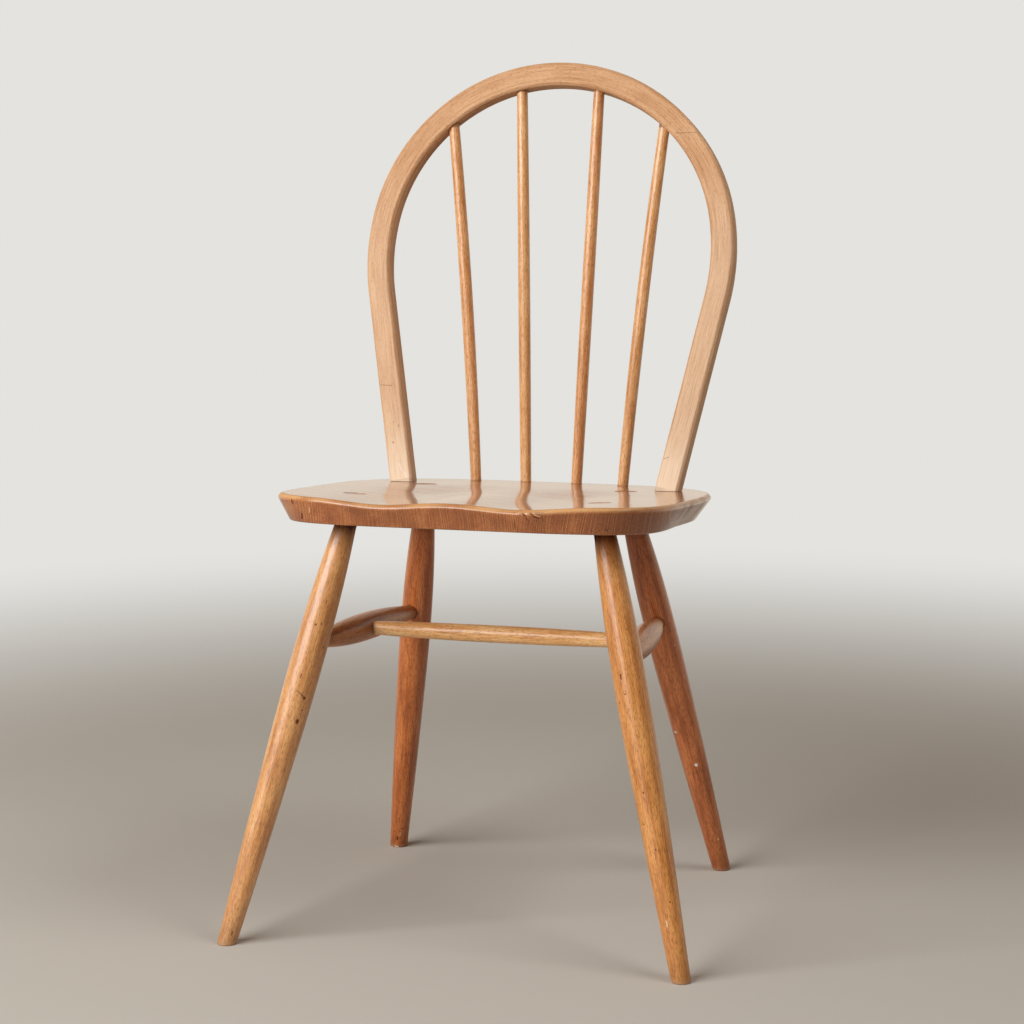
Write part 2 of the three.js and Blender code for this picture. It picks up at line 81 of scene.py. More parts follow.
def linear(colour: str) -> tuple[float, float, float, float]:
    """Turns an sRGB hex colour into linear values.

    Args:
        colour: six hex digits after a hash sign.

    Returns:
        Linear red, green, blue and an alpha of 1.
    """
    channels = [int(colour[i:i + 2], 16) / 255 for i in (1, 3, 5)]
    values = [c / 12.92 if c <= 0.04045 else ((c + 0.055) / 1.055) ** 2.4 for c in channels]
    return (*values, 1.0)


def add_node(
    tree: bpy.types.NodeTree,
    kind: str,
    links: Mapping[Any, Any] | None = None,
    **settings: Any,
) -> bpy.types.Node:
    """Adds one node with its settings, input values and links.

    Args:
        tree: the node tree that takes the node.
        kind: the node's type name.
        links: for each input, by name or index, a socket to link or a value to set.
        settings: properties of the node itself.

    Returns:
        The new node.
    """
    node = tree.nodes.new(kind)
    for name, value in settings.items():
        setattr(node, name, value)
    for key, value in (links or {}).items():
        if isinstance(value, bpy.types.NodeSocket):
            tree.links.new(value, node.inputs[key])
        else:
            node.inputs[key].default_value = value
    return node


def add_rows(
    tree: bpy.types.NodeTree,
    known: dict[str, bpy.types.NodeSocket],
    rows: Sequence[tuple[Any, ...]],
) -> None:
    """Adds the nodes of a calculation, one for each row.

    Args:
        tree: the node tree that takes the nodes.
        known: values by name; each row adds its own, or takes the place of an earlier one.
        rows: for each, the value's name, what is done and the terms, which are numbers or names.
            RANGE takes a value from one span to another and stops at its ends.
    """
    for name, work, *terms in rows:
        links = {place: known.get(term, term) for place, term in enumerate(terms)}
        if work == "RANGE":
            node = add_node(tree, "ShaderNodeMapRange", links)
        else:
            node = add_node(tree, "ShaderNodeMath", links, operation=work)
        known[name] = node.outputs[0]


def smoothstep(value: np.ndarray, start: float, end: float) -> np.ndarray:
    """A smooth climb from 0 at start to 1 at end."""
    share = np.clip((value - start) / (end - start), 0.0, 1.0)
    return share * share * (3.0 - 2.0 * share)


def ripple(places: np.ndarray, lengths: Sequence[float], seed: int) -> np.ndarray:
    """Smooth unevenness, the sum of a few waves in random directions.

    Args:
        places: points in millimetres, one row each.
        lengths: wavelengths in millimetres.
        seed: fixes the directions and the phases.

    Returns:
        A value for each point, between -1 and 1.
    """
    draw = np.random.default_rng(seed)
    total = np.zeros(len(places))
    for length in lengths:
        direction = draw.normal(size=3)
        direction /= np.linalg.norm(direction)
        total += np.sin(places @ direction * (2 * np.pi / length) + draw.uniform(0, 2 * np.pi))
    return total / len(lengths)


def moved(matrix: Matrix, points: np.ndarray) -> np.ndarray:
    """Points after a matrix, one row each."""
    values = np.array(matrix)
    return points @ values[:3, :3].T + values[:3, 3]


def axis_matrix(start: Vector, end: Vector) -> Matrix:
    """A frame with its origin at start and its +Z axis towards end."""
    turn = Vector((0, 0, 1)).rotation_difference(end - start)
    return Matrix.Translation(start) @ turn.to_matrix().to_4x4()


def mesh_object(name: str, points: np.ndarray, faces: Faces) -> bpy.types.Object:
    """Makes an object at the origin from points in millimetres and faces."""
    mesh = bpy.data.meshes.new(name)
    mesh.from_pydata((points * MM).tolist(), [], faces)
    piece = bpy.data.objects.new(name, mesh)
    bpy.context.scene.collection.objects.link(piece)
    return piece


def points_of(piece: bpy.types.Object) -> np.ndarray:
    """A piece's points in millimetres, one row each."""
    flat = np.empty(len(piece.data.vertices) * 3, np.float32)
    piece.data.vertices.foreach_get("co", flat)
    return flat.reshape(-1, 3).astype(float) / MM


def set_points(piece: bpy.types.Object, points: np.ndarray) -> None:
    """Gives a piece new points, in millimetres."""
    piece.data.vertices.foreach_set("co", (points * MM).astype(np.float32).ravel())
    piece.data.update()


def settle(piece: bpy.types.Object) -> None:
    """Turns a piece's modifiers into a plain mesh and removes them."""
    graph = bpy.context.evaluated_depsgraph_get()
    mesh = bpy.data.meshes.new_from_object(piece.evaluated_get(graph))
    piece.modifiers.clear()
    before = piece.data
    piece.data = mesh
    bpy.data.meshes.remove(before)
    mesh.name = piece.name


class Cut(Enum):
    """How a cutter changes a piece."""

    AWAY = "DIFFERENCE"
    JOIN = "UNION"
    KEEP = "INTERSECT"


def carve(piece: bpy.types.Object, cutters: Sequence[tuple[Cut, np.ndarray, Faces]]) -> None:
    """Cuts sockets and trims ends, one cutter after another.

    Args:
        piece: the piece that changes.
        cutters: for each, what it does and its points and faces.
    """
    tools = []
    for cut, points, faces in cutters:
        tool = mesh_object("cutter", points, faces)
        step = piece.modifiers.new("carve", "BOOLEAN")
        step.operation = cut.value
        step.solver = "MANIFOLD"
        step.object = tool
        tools.append(tool)
    settle(piece)
    for tool in tools:
        mesh = tool.data
        bpy.data.objects.remove(tool)
        bpy.data.meshes.remove(mesh)


def round_bar(
    start: Vector, end: Vector, radius: float, before: float, after: float
) -> tuple[np.ndarray, Faces]:
    """A round bar between two points, run on past each of them.

    Args:
        start: first point.
        end: second point.
        radius: the bar's radius.
        before: length past the first point.
        after: length past the second point.

    Returns:
        The bar's points and faces.
    """
    count = SOCKET_SIDES
    turn = np.arange(count) * 2 * np.pi / count
    ring = np.stack([radius * np.cos(turn), radius * np.sin(turn), np.zeros(count)], axis=1)
    length = (end - start).length
    points = np.vstack([ring + (0, 0, -before), ring + (0, 0, length + after)])
    faces: Faces = [(i, (i + 1) % count, count + (i + 1) % count, count + i) for i in range(count)]
    faces.append(tuple(reversed(range(count))))
    faces.append(tuple(range(count, 2 * count)))
    return moved(axis_matrix(start, end), points), faces


def block(low: Sequence[float], high: Sequence[float], matrix: Matrix) -> tuple[np.ndarray, Faces]:
    """A box between two corners of a frame, as points in the chair's frame and faces."""
    corners = [(x, y, z) for z in (low[2], high[2]) for y in (low[1], high[1]) for x in (low[0], high[0])]
    ends: Faces = [(0, 2, 3, 1), (4, 5, 7, 6)]
    walls: Faces = [(0, 1, 5, 4), (2, 6, 7, 3), (0, 4, 6, 2), (1, 3, 7, 5)]
    return moved(matrix, np.array(corners, float)), ends + walls


@dataclass(frozen=True)
class Fade:
    """Wear and dirt, and in places painted light and shade, strongest at one place and falling away from
    it.
    """

    amount: float
    reach: float  # distance in which it falls to about a third

    def at(self, distance: np.ndarray) -> np.ndarray:
        """What is left at a distance; the full amount below 0."""
        return self.amount * np.exp(-np.maximum(distance, 0.0) / self.reach)


def near_axis(
    points: np.ndarray, start: Vector, end: Vector, radius: float, fade: Fade
) -> np.ndarray:
    """Dirt round a bar that is let into a piece.

    Args:
        points: the piece's points in the chair's frame, one row each.
        start: where the bar's axis starts.
        end: where it ends.
        radius: the bar's radius.
        fade: how the dirt falls away from the bar's surface.

    Returns:
        The dirt at each point, 0 before the bar's start and past its end.
    """
    own = moved(axis_matrix(start, end).inverted(), points)
    beside = (own[:, 2] > 0.0) & (own[:, 2] < (end - start).length)
    return fade.at(np.hypot(own[:, 0], own[:, 1]) - radius) * beside


# Marks and finishes

class MarkKind(Enum):
    """What a mark does to the surface."""

    DARK = "dark"
    PAINT = "paint"
    PALE = "pale"


# Depth of a mark's dent and how far it reaches, as shares of the mark's width
DENT_DEPTH = {MarkKind.DARK: 0.3, MarkKind.PALE: 0.05, MarkKind.PAINT: -0.08}
DENT_REACH = 0.6


@dataclass(frozen=True)
class Mark:
    """A spot or a short line on a piece, in the piece's own coordinates."""

    kind: MarkKind
    start: tuple[float, float, float]
    end: tuple[float, float, float]
    width: float

    def dent(self, grain: np.ndarray) -> np.ndarray:
        """How deep the mark goes at each point, in millimetres; paint stands proud.

        Args:
            grain: points in the piece's own coordinates, one row each.

        Returns:
            The depth at each point.
        """
        start, end = np.array(self.start), np.array(self.end)
        way = end - start
        along = np.clip((grain - start) @ way / max(way @ way, 1e-6), 0.0, 1.0)
        gap = np.linalg.norm(grain - start - along[:, None] * way, axis=1)
        shape = np.exp(-((gap / (DENT_REACH * self.width)) ** 2))
        return DENT_DEPTH[self.kind] * self.width * shape

    def distance(
        self, tree: bpy.types.NodeTree, place: bpy.types.NodeSocket
    ) -> bpy.types.NodeSocket:
        """Adds nodes for the distance outside the mark's own width.

        Args:
            tree: the material's node tree.
            place: the shaded point in the piece's own coordinates.

        Returns:
            The distance in millimetres, below 0 inside the mark.
        """
        way = Vector(self.end) - Vector(self.start)
        out = add_node(tree, "ShaderNodeVectorMath", {0: place, 1: self.start}, operation="SUBTRACT")
        along = add_node(
            tree,
            "ShaderNodeVectorMath",
            {0: out.outputs[0], 1: way.normalized()},
            operation="DOT_PRODUCT",
        )
        held = add_node(
            tree, "ShaderNodeClamp", {0: along.outputs["Value"], "Min": 0.0, "Max": way.length}
        )
        foot = add_node(
            tree,
            "ShaderNodeVectorMath",
            {0: way.normalized(), "Scale": held.outputs[0]},
            operation="SCALE",
        )
        gap = add_node(
            tree,
            "ShaderNodeVectorMath",
            {0: out.outputs[0], 1: foot.outputs[0]},
            operation="DISTANCE",
        )
        inside = add_node(
            tree,
            "ShaderNodeMath",
            {0: gap.outputs["Value"], 1: self.width / 2},
            operation="SUBTRACT",
        )
        return inside.outputs[0]


def stretched_noise(
    tree: bpy.types.NodeTree,
    place: bpy.types.NodeSocket,
    across: float,
    along: float,
    detail: float,
) -> bpy.types.Node:
    """Adds noise whose patches have a real width and length.

    Args:
        tree: the material's node tree.
        place: the shaded point in the piece's own coordinates, in millimetres.
        across: width of a patch across the grain, in millimetres.
        along: length of a patch along the grain, in millimetres.
        detail: octaves of finer noise.

    Returns:
        The noise node.
    """
    size = (1 / across, 1 / across, 1 / along)
    scaled = add_node(tree, "ShaderNodeVectorMath", {0: place, 1: size}, operation="MULTIPLY")
    links = {"Vector": scaled.outputs[0], "Scale": 1.0, "Detail": detail}
    return add_node(tree, "ShaderNodeTexNoise", links)


# How noise breaks up a painted field: its share, then the values that give no mask and a full one
WEAR_AND_LIGHT_BREAK = (0.7, 0.1, 0.95)
GRIME_AND_SHADE_BREAK = (0.8, 0.15, 1.0)
RING_DRIFT = (60.0, 240.0)  # width and length of the patches in which the rings wander
PORE_EDGE = 0.12  # share of the noise over which a pore ends
MARK_GRIT = 0.8  # lumps in a millimetre of a mark's outline
MARK_WOBBLE = 0.8  # how far those lumps push the outline, in millimetres
MARK_EDGE = 0.5  # half the width of a mark's soft edge, in millimetres
MARK_COVER = 0.95
BARE_ROUGHNESS = 0.3  # added where the lacquer is gone
PATCH_ROUGHNESS = 0.12  # added in the palest patches
FIBRE_RELIEF = 0.4  # height of the fibres in millimetres
PORE_RELIEF = -0.3  # depth of pores and of dark marks, as shares of that height
PIT_RELIEF = -1.2
WOOD_IOR = 1.5
LACQUER_IOR = 1.5


@dataclass(frozen=True)
class WoodFinish:
    """Wood under a clear, worn lacquer: growth rings, fibres and dark pores along the grain.

    Widths and lengths are in millimetres. The fibres and pores of beech and elm are 0.1 to 0.3 mm
    wide; they are drawn 0.9 mm wide, about one pixel of the picture, so that they show. The elm's
    rings are drawn 1 mm apart, as the hatching on its front edge is.
    """

    name: str
    deep: str
    mid: str
    pale: str
    pore: str
    # Tone of rubbed wood, which on the hoop also paints light
    worn: str = "#e6cba8"
    # Dirt tone, which on the legs' tops also paints the seat's shadow
    grime: str = "#481c0a"
    stain: str = "#5e2208"
    paint: str = "#ece8de"
    ring_width: float = 5.0
    pith: tuple[float, float] = (70.0, 40.0)
    second_pith: tuple[float, float] | None = None
    board_joint: float = 0.0
    ring_share: float = 0.12
    fibre_width: float = 0.9
    fibre_length: float = 22.0
    fibre_share: float = 0.45
    patch_width: float = 12.0
    patch_length: float = 70.0
    pore_width: float = 0.9
    pore_length: float = 4.5
    pore_strength: float = 0.46
    pore_start: float = 0.53
    contrast: float = 0.1
    roughness: float = 0.42
    gloss: float = 0.15
    coat: float = 1.0
    coat_roughness: float = 0.3
    relief: float = 0.3
    drift: float = 7.0

    def material(self, marks: Sequence[Mark] = ()) -> bpy.types.Material:
        """Makes the material.

        Args:
            marks: spots and lines in the coordinates of the piece that wears the finish.

        Returns:
            The new material.
        """
        material = bpy.data.materials.new(self.name)
        material.use_nodes = True
        tree = material.node_tree
        tree.nodes.clear()
        grain = add_node(tree, "ShaderNodeAttribute", attribute_name="grain").outputs["Vector"]
        fibre = stretched_noise(tree, grain, self.fibre_width, self.fibre_length, 3.0).outputs["Fac"]
        patch = stretched_noise(tree, grain, self.patch_width, self.patch_length, 2.0).outputs["Fac"]
        pores = self._pores(tree, grain)
        # The wear mask, which on the hoop also holds painted light
        wear = self._broken(tree, "wear", fibre, *WEAR_AND_LIGHT_BREAK)
        # The dirt mask, which on the legs' tops also holds painted shade of the seat's shadow
        grime = self._broken(tree, "grime", patch, *GRIME_AND_SHADE_BREAK)
        known = {"fibre": fibre, "patch": patch, "pores": pores, "wear": wear, "grime": grime}
        rows = [
            ("shade", "MULTIPLY", "pores", self.pore_strength),
            ("bare", "MAXIMUM", "wear", "grime"),
            ("height", "MULTIPLY_ADD", "pores", PORE_RELIEF, "fibre"),
        ]
        add_rows(tree, known, rows)
        colour = self._figure(tree, grain, fibre, patch)
        for mask, tint in ((known["shade"], self.pore), (wear, self.worn), (grime, self.grime)):
            colour = self._mix(tree, mask, colour, tint)

        tints = {MarkKind.PALE: self.worn, MarkKind.DARK: self.stain, MarkKind.PAINT: self.paint}
        for kind, tint in tints.items():
            alike = [mark for mark in marks if mark.kind is kind]
            if not alike:
                continue
            known["marked"] = self._marked(tree, grain, alike)
            colour = self._mix(tree, known["marked"], colour, tint)
            if kind is MarkKind.DARK:
                rows = [
                    ("bare", "MAXIMUM", "bare", "marked"),
                    ("height", "MULTIPLY_ADD", "marked", PIT_RELIEF, "height"),
                ]
                add_rows(tree, known, rows)

        rows = [
            ("rough", "MULTIPLY_ADD", "bare", BARE_ROUGHNESS, self.roughness),
            ("rough", "MULTIPLY_ADD", "patch", PATCH_ROUGHNESS, "rough"),
        ]
        if self.coat:
            rows.append(("lacquer", "MULTIPLY_ADD", "bare", -self.coat, self.coat))
        add_rows(tree, known, rows)
        relief = {"Strength": self.relief, "Distance": FIBRE_RELIEF * MM, "Height": known["height"]}
        surface = add_node(
            tree,
            "ShaderNodeBsdfPrincipled",
            {
                "Base Color": colour,
                "Roughness": known["rough"],
                "IOR": WOOD_IOR,
                "Specular IOR Level": self.gloss,
                "Coat Weight": known.get("lacquer", 0.0),
                "Coat Roughness": self.coat_roughness,
                "Coat IOR": LACQUER_IOR,
                "Normal": add_node(tree, "ShaderNodeBump", relief).outputs[0],
            },
        )
        add_node(tree, "ShaderNodeOutputMaterial", {"Surface": surface.outputs[0]})
        return material

    def _mix(
        self,
        tree: bpy.types.NodeTree,
        factor: bpy.types.NodeSocket,
        under: bpy.types.NodeSocket,
        over: str,
    ) -> bpy.types.NodeSocket:
        """Lays one plain colour over another by a mask."""
        links = {0: factor, 6: under, 7: linear(over)}
        return add_node(tree, "ShaderNodeMix", links, data_type="RGBA").outputs[2]

    def _figure(
        self,
        tree: bpy.types.NodeTree,
        grain: bpy.types.NodeSocket,
        fibre: bpy.types.NodeSocket,
        patch: bpy.types.NodeSocket,
    ) -> bpy.types.NodeSocket:
        """Adds the growth rings round the pith and the tones between them."""
        drift = stretched_noise(tree, grain, *RING_DRIFT, 2.0)
        shifted = add_node(
            tree,
            "ShaderNodeVectorMath",
            {0: drift.outputs["Color"], 1: (self.drift, self.drift, 0.0), 2: grain},
            operation="MULTIPLY_ADD",
        )
        flat = add_node(
            tree,
            "ShaderNodeVectorMath",
            {0: shifted.outputs[0], 1: (1.0, 1.0, 0.0)},
            operation="MULTIPLY",
        ).outputs[0]
        reach = add_node(
            tree, "ShaderNodeVectorMath", {0: flat, 1: (*self.pith, 0.0)}, operation="DISTANCE"
        ).outputs["Value"]
        if self.second_pith is not None:
            other = add_node(
                tree,
                "ShaderNodeVectorMath",
                {0: flat, 1: (*self.second_pith, 0.0)},
                operation="DISTANCE",
            ).outputs["Value"]
            side = add_node(tree, "ShaderNodeSeparateXYZ", {0: grain}).outputs["X"]
            chosen = add_node(
                tree, "ShaderNodeMath", {0: side, 1: self.board_joint}, operation="GREATER_THAN"
            ).outputs[0]
            reach = add_node(tree, "ShaderNodeMix", {0: chosen, 2: reach, 3: other}).outputs[0]
        known = {"reach": reach, "fibre": fibre, "patch": patch}
        add_rows(tree, known, [("count", "DIVIDE", "reach", self.ring_width)])
        links = {"W": known["count"], "Scale": 1.0, "Detail": 2.0}
        rings = add_node(tree, "ShaderNodeTexNoise", links, noise_dimensions="1D")
        known["rings"] = rings.outputs["Fac"]
        rows = [
            ("tone", "MULTIPLY", "patch", 1.0 - self.ring_share - self.fibre_share),
            ("tone", "MULTIPLY_ADD", "fibre", self.fibre_share, "tone"),
            ("tone", "MULTIPLY_ADD", "rings", self.ring_share, "tone"),
        ]
        add_rows(tree, known, rows)
        ramp = add_node(tree, "ShaderNodeValToRGB", {0: known["tone"]})
        stops = ramp.color_ramp.elements
        stops.new(0.5)
        places = (0.5 - self.contrast, 0.5, 0.5 + self.contrast)
        for stop, place, tint in zip(stops, places, (self.deep, self.mid, self.pale)):
            stop.position = place
            stop.color = linear(tint)
        return ramp.outputs["Color"]

    def _pores(
        self, tree: bpy.types.NodeTree, grain: bpy.types.NodeSocket
    ) -> bpy.types.NodeSocket:
        """Adds short dark dashes along the grain."""
        dashes = stretched_noise(tree, grain, self.pore_width, self.pore_length, 1.0)
        links = {0: dashes.outputs["Fac"], 1: self.pore_start, 2: self.pore_start + PORE_EDGE}
        return add_node(tree, "ShaderNodeMapRange", links).outputs[0]

    def _broken(
        self,
        tree: bpy.types.NodeTree,
        name: str,
        noise: bpy.types.NodeSocket,
        amount: float,
        low: float,
        high: float,
    ) -> bpy.types.NodeSocket:
        """Reads a painted field of the piece and breaks its edge up with noise."""
        painted = add_node(tree, "ShaderNodeAttribute", attribute_name=name).outputs["Fac"]
        known = {"noise": noise, "painted": painted}
        rows = [
            ("lifted", "SUBTRACT", "noise", 0.5),
            ("weighed", "MULTIPLY", "lifted", "painted"),
            ("broken", "MULTIPLY_ADD", "weighed", 2 * amount, "painted"),
            ("mask", "RANGE", "broken", low, high),
        ]
        add_rows(tree, known, rows)
        return known["mask"]

    def _marked(
        self, tree: bpy.types.NodeTree, grain: bpy.types.NodeSocket, marks: Sequence[Mark]
    ) -> bpy.types.NodeSocket:
        """Adds one mask for all marks of a kind, with a lumpy outline."""
        lumps = add_node(
            tree, "ShaderNodeTexNoise", {"Vector": grain, "Scale": MARK_GRIT, "Detail": 2.0}
        ).outputs["Color"]
        pushed = add_node(
            tree,
            "ShaderNodeVectorMath",
            {0: lumps, 1: (2 * MARK_WOBBLE,) * 3, 2: grain},
            operation="MULTIPLY_ADD",
        ).outputs[0]
        place = add_node(
            tree, "ShaderNodeVectorMath", {0: pushed, 1: (MARK_WOBBLE,) * 3}, operation="SUBTRACT"
        ).outputs[0]
        nearest, *others = [mark.distance(tree, place) for mark in marks]
        for gap in others:
            nearest = add_node(
                tree, "ShaderNodeMath", {0: nearest, 1: gap}, operation="MINIMUM"
            ).outputs[0]
        links = {0: nearest, 1: MARK_EDGE, 2: -MARK_EDGE, 4: MARK_COVER}
        return add_node(tree, "ShaderNodeMapRange", links).outputs[0]


# Steam-bent beech: pale, pinkish-tan, with fine short flecks that run round the bend.
HOOP_BEECH = WoodFinish(
    name="beech_steam_bent_clear_lacquer",
    deep="#b98558",
    mid="#cc9b6f",
    pale="#daae84",
    pore="#8f5a36",
    worn="#ecd3b6",
    ring_width=2.4,
    ring_share=0.2,
    fibre_length=30.0,
    contrast=0.11,
    pore_strength=0.38,
    roughness=0.5,
    gloss=0.3,
    coat=0.0,
)
# Turned beech spindles: golden-brown and glossy, streaked lengthwise.
SPINDLE_BEECH = WoodFinish(
    name="beech_spindle_clear_lacquer",
    deep="#c68950",
    mid="#dca46b",
    pale="#eaba85",
    pore="#8d5429",
    coat_roughness=0.24,
)
REDDER_SPINDLE_BEECH = WoodFinish(
    name="beech_red_spindle_clear_lacquer",
    deep="#c28350",
    mid="#da9e67",
    pale="#e8b682",
    pore="#854a26",
    coat_roughness=0.24,
)
# Turned beech legs: each was cut from another board, so each has its own tone.
LEG_FRONT_LEFT_BEECH = WoodFinish(
    name="beech_leg_light_gold_clear_lacquer",
    deep="#bb7a42",
    mid="#d69656",
    pale="#e6ae70",
    pore="#7d4a24",
    gloss=0.5,
)
LEG_FRONT_RIGHT_BEECH = WoodFinish(
    name="beech_leg_amber_clear_lacquer",
    deep="#b57237",
    mid="#cf8b4a",
    pale="#dfa05d",
    pore="#74401c",
)
LEG_BACK_LEFT_BEECH = WoodFinish(
    name="beech_leg_orange_brown_clear_lacquer",
    deep="#a05526",
    mid="#be6b32",
    pale="#d38041",
    pore="#602d12",
)
LEG_BACK_RIGHT_BEECH = WoodFinish(
    name="beech_leg_red_brown_clear_lacquer",
    deep="#974f24",
    mid="#b76734",
    pale="#ca7b43",
    pore="#552610",
)
# Turned beech stretchers: brown and duller at the sides; the one across is pale, and painted paler still
# as painted light, to lift the shade under the seat.
STRETCHER_BEECH = WoodFinish(
    name="beech_stretcher_clear_lacquer",
    deep="#9c5d31",
    mid="#bd7b48",
    pale="#d1945d",
    pore="#5f371d",
    coat=0.6,
)
# Painted light: written paler than the wood, to lift the shade under the seat
CROSS_STRETCHER_LIGHTENED_BEECH = WoodFinish(
    name="beech_cross_stretcher_clear_lacquer",
    deep="#d5985a",
    mid="#ebb475",
    pale="#f7cb90",
    pore="#83502a",
)
# Elm boards jointed side by side: red-brown, with close rings that show as hatching on the front edge.
SEAT_ELM = WoodFinish(
    name="elm_seat_clear_lacquer",
    deep="#8d4c22",
    mid="#ab6331",
    pale="#c68049",
    pore="#5a2d13",
    worn="#dba86f",
    ring_width=1.0,
    pith=(-420.0, 30.0),
    second_pith=(560.0, -120.0),
    board_joint=65.0,
    ring_share=0.42,
    fibre_share=0.28,
    patch_width=18.0,
    patch_length=60.0,
    pore_strength=0.55,
    pore_length=3.0,
    contrast=0.09,
    relief=0.4,
    roughness=0.36,
    gloss=0.3,
    coat_roughness=0.13,
)
# Hardwood wedges: as red-brown and glossy as the seat, so that little but their outline shows.
WEDGE_WOOD = WoodFinish(
    name="hardwood_wedge_end_grain",
    deep="#8d4c22",
    mid="#ab6331",
    pale="#c68049",
    pore="#5a2d13",
    gloss=0.3,
    coat_roughness=0.13,
)


def dress(
    piece: bpy.types.Object,
    material: bpy.types.Material,
    grain: np.ndarray,
    wear: np.ndarray,
    grime: np.ndarray,
    marks: Sequence[Mark] = (),
) -> None:
    """Gives a piece its material, its dents and the fields that the material reads.

    Args:
        piece: the piece.
        material: its material.
        grain: for each point, its place across, across and along the grain in millimetres.
        wear: for each point, how far the finish is rubbed away, from 0 to 1; on the hoop's limbs it also
            holds painted light.
        grime: for each point, how much dirt has gathered, from 0 to 1, with painted shade of the seat's
            shadow on the legs' tops.
        marks: the marks that are pressed into the surface.
    """
    mesh = piece.data
    if marks:
        normals = np.empty(len(mesh.vertices) * 3, np.float32)
        mesh.vertex_normals.foreach_get("vector", normals)
        depth = sum(mark.dent(grain) for mark in marks)
        set_points(piece, points_of(piece) - normals.reshape(-1, 3) * depth[:, None])
    mesh.materials.clear()
    mesh.materials.append(material)
    field_of_grain = mesh.attributes.new("grain", "FLOAT_VECTOR", "POINT")
    field_of_grain.data.foreach_set("vector", grain.astype(np.float32).ravel())
    for name, values in (("wear", wear), ("grime", grime)):
        painted = mesh.attributes.new(name, "FLOAT", "POINT")
        painted.data.foreach_set("value", np.clip(values, 0, 1).astype(np.float32))
    mesh.shade_smooth()
    mesh.set_sharp_from_angle(angle=SHARP_ANGLE)


def hand_over(piece: bpy.types.Object) -> None:
    """Lets a finished piece stand for the CAD node of its name, and reports it."""
    node = piece.name.removeprefix(DRESSED)
    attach(piece, BODY)
    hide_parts(node)
    low, high = (np.array(corner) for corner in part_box(node))
    points = points_of(piece) * MM
    shift = max(np.abs(points.min(0) - low).max(), np.abs(points.max(0) - high).max())
    log.info("%s: %d faces, within %.2f mm of its node", node, len(piece.data.polygons), shift / MM)


# Geometry Nodes trees

def open_tree(name: str, sizes: Sequence[str]) -> bpy.types.NodeTree:
    """Starts the tree of a bar, with its inputs and its output.

    Args:
        name: the tree's name.
        sizes: names of the inputs that take a measure.

    Returns:
        The tree, with no node in it yet.
    """
    tree = bpy.data.node_groups.new(name, "GeometryNodeTree")
    kinds = {size: "NodeSocketFloat" for size in sizes}
    kinds |= {"Rings": "NodeSocketInt", "Sides": "NodeSocketInt", "Material": "NodeSocketMaterial"}
    for label, kind in kinds.items():
        tree.interface.new_socket(name=label, in_out="INPUT", socket_type=kind)
    tree.interface.new_socket(name="Geometry", in_out="OUTPUT", socket_type="NodeSocketGeometry")
    return tree


def close_tree(
    tree: bpy.types.NodeTree, skin: bpy.types.NodeSocket, material: bpy.types.NodeSocket
) -> None:
    """Ends the tree of a bar with real geometry in its material."""
    solid = add_node(tree, "GeometryNodeRealizeInstances", {"Geometry": skin}).outputs[0]
    dressed = add_node(
        tree, "GeometryNodeSetMaterial", {"Geometry": solid, "Material": material}
    ).outputs[0]
    add_node(tree, "NodeGroupOutput", {"Geometry": dressed})


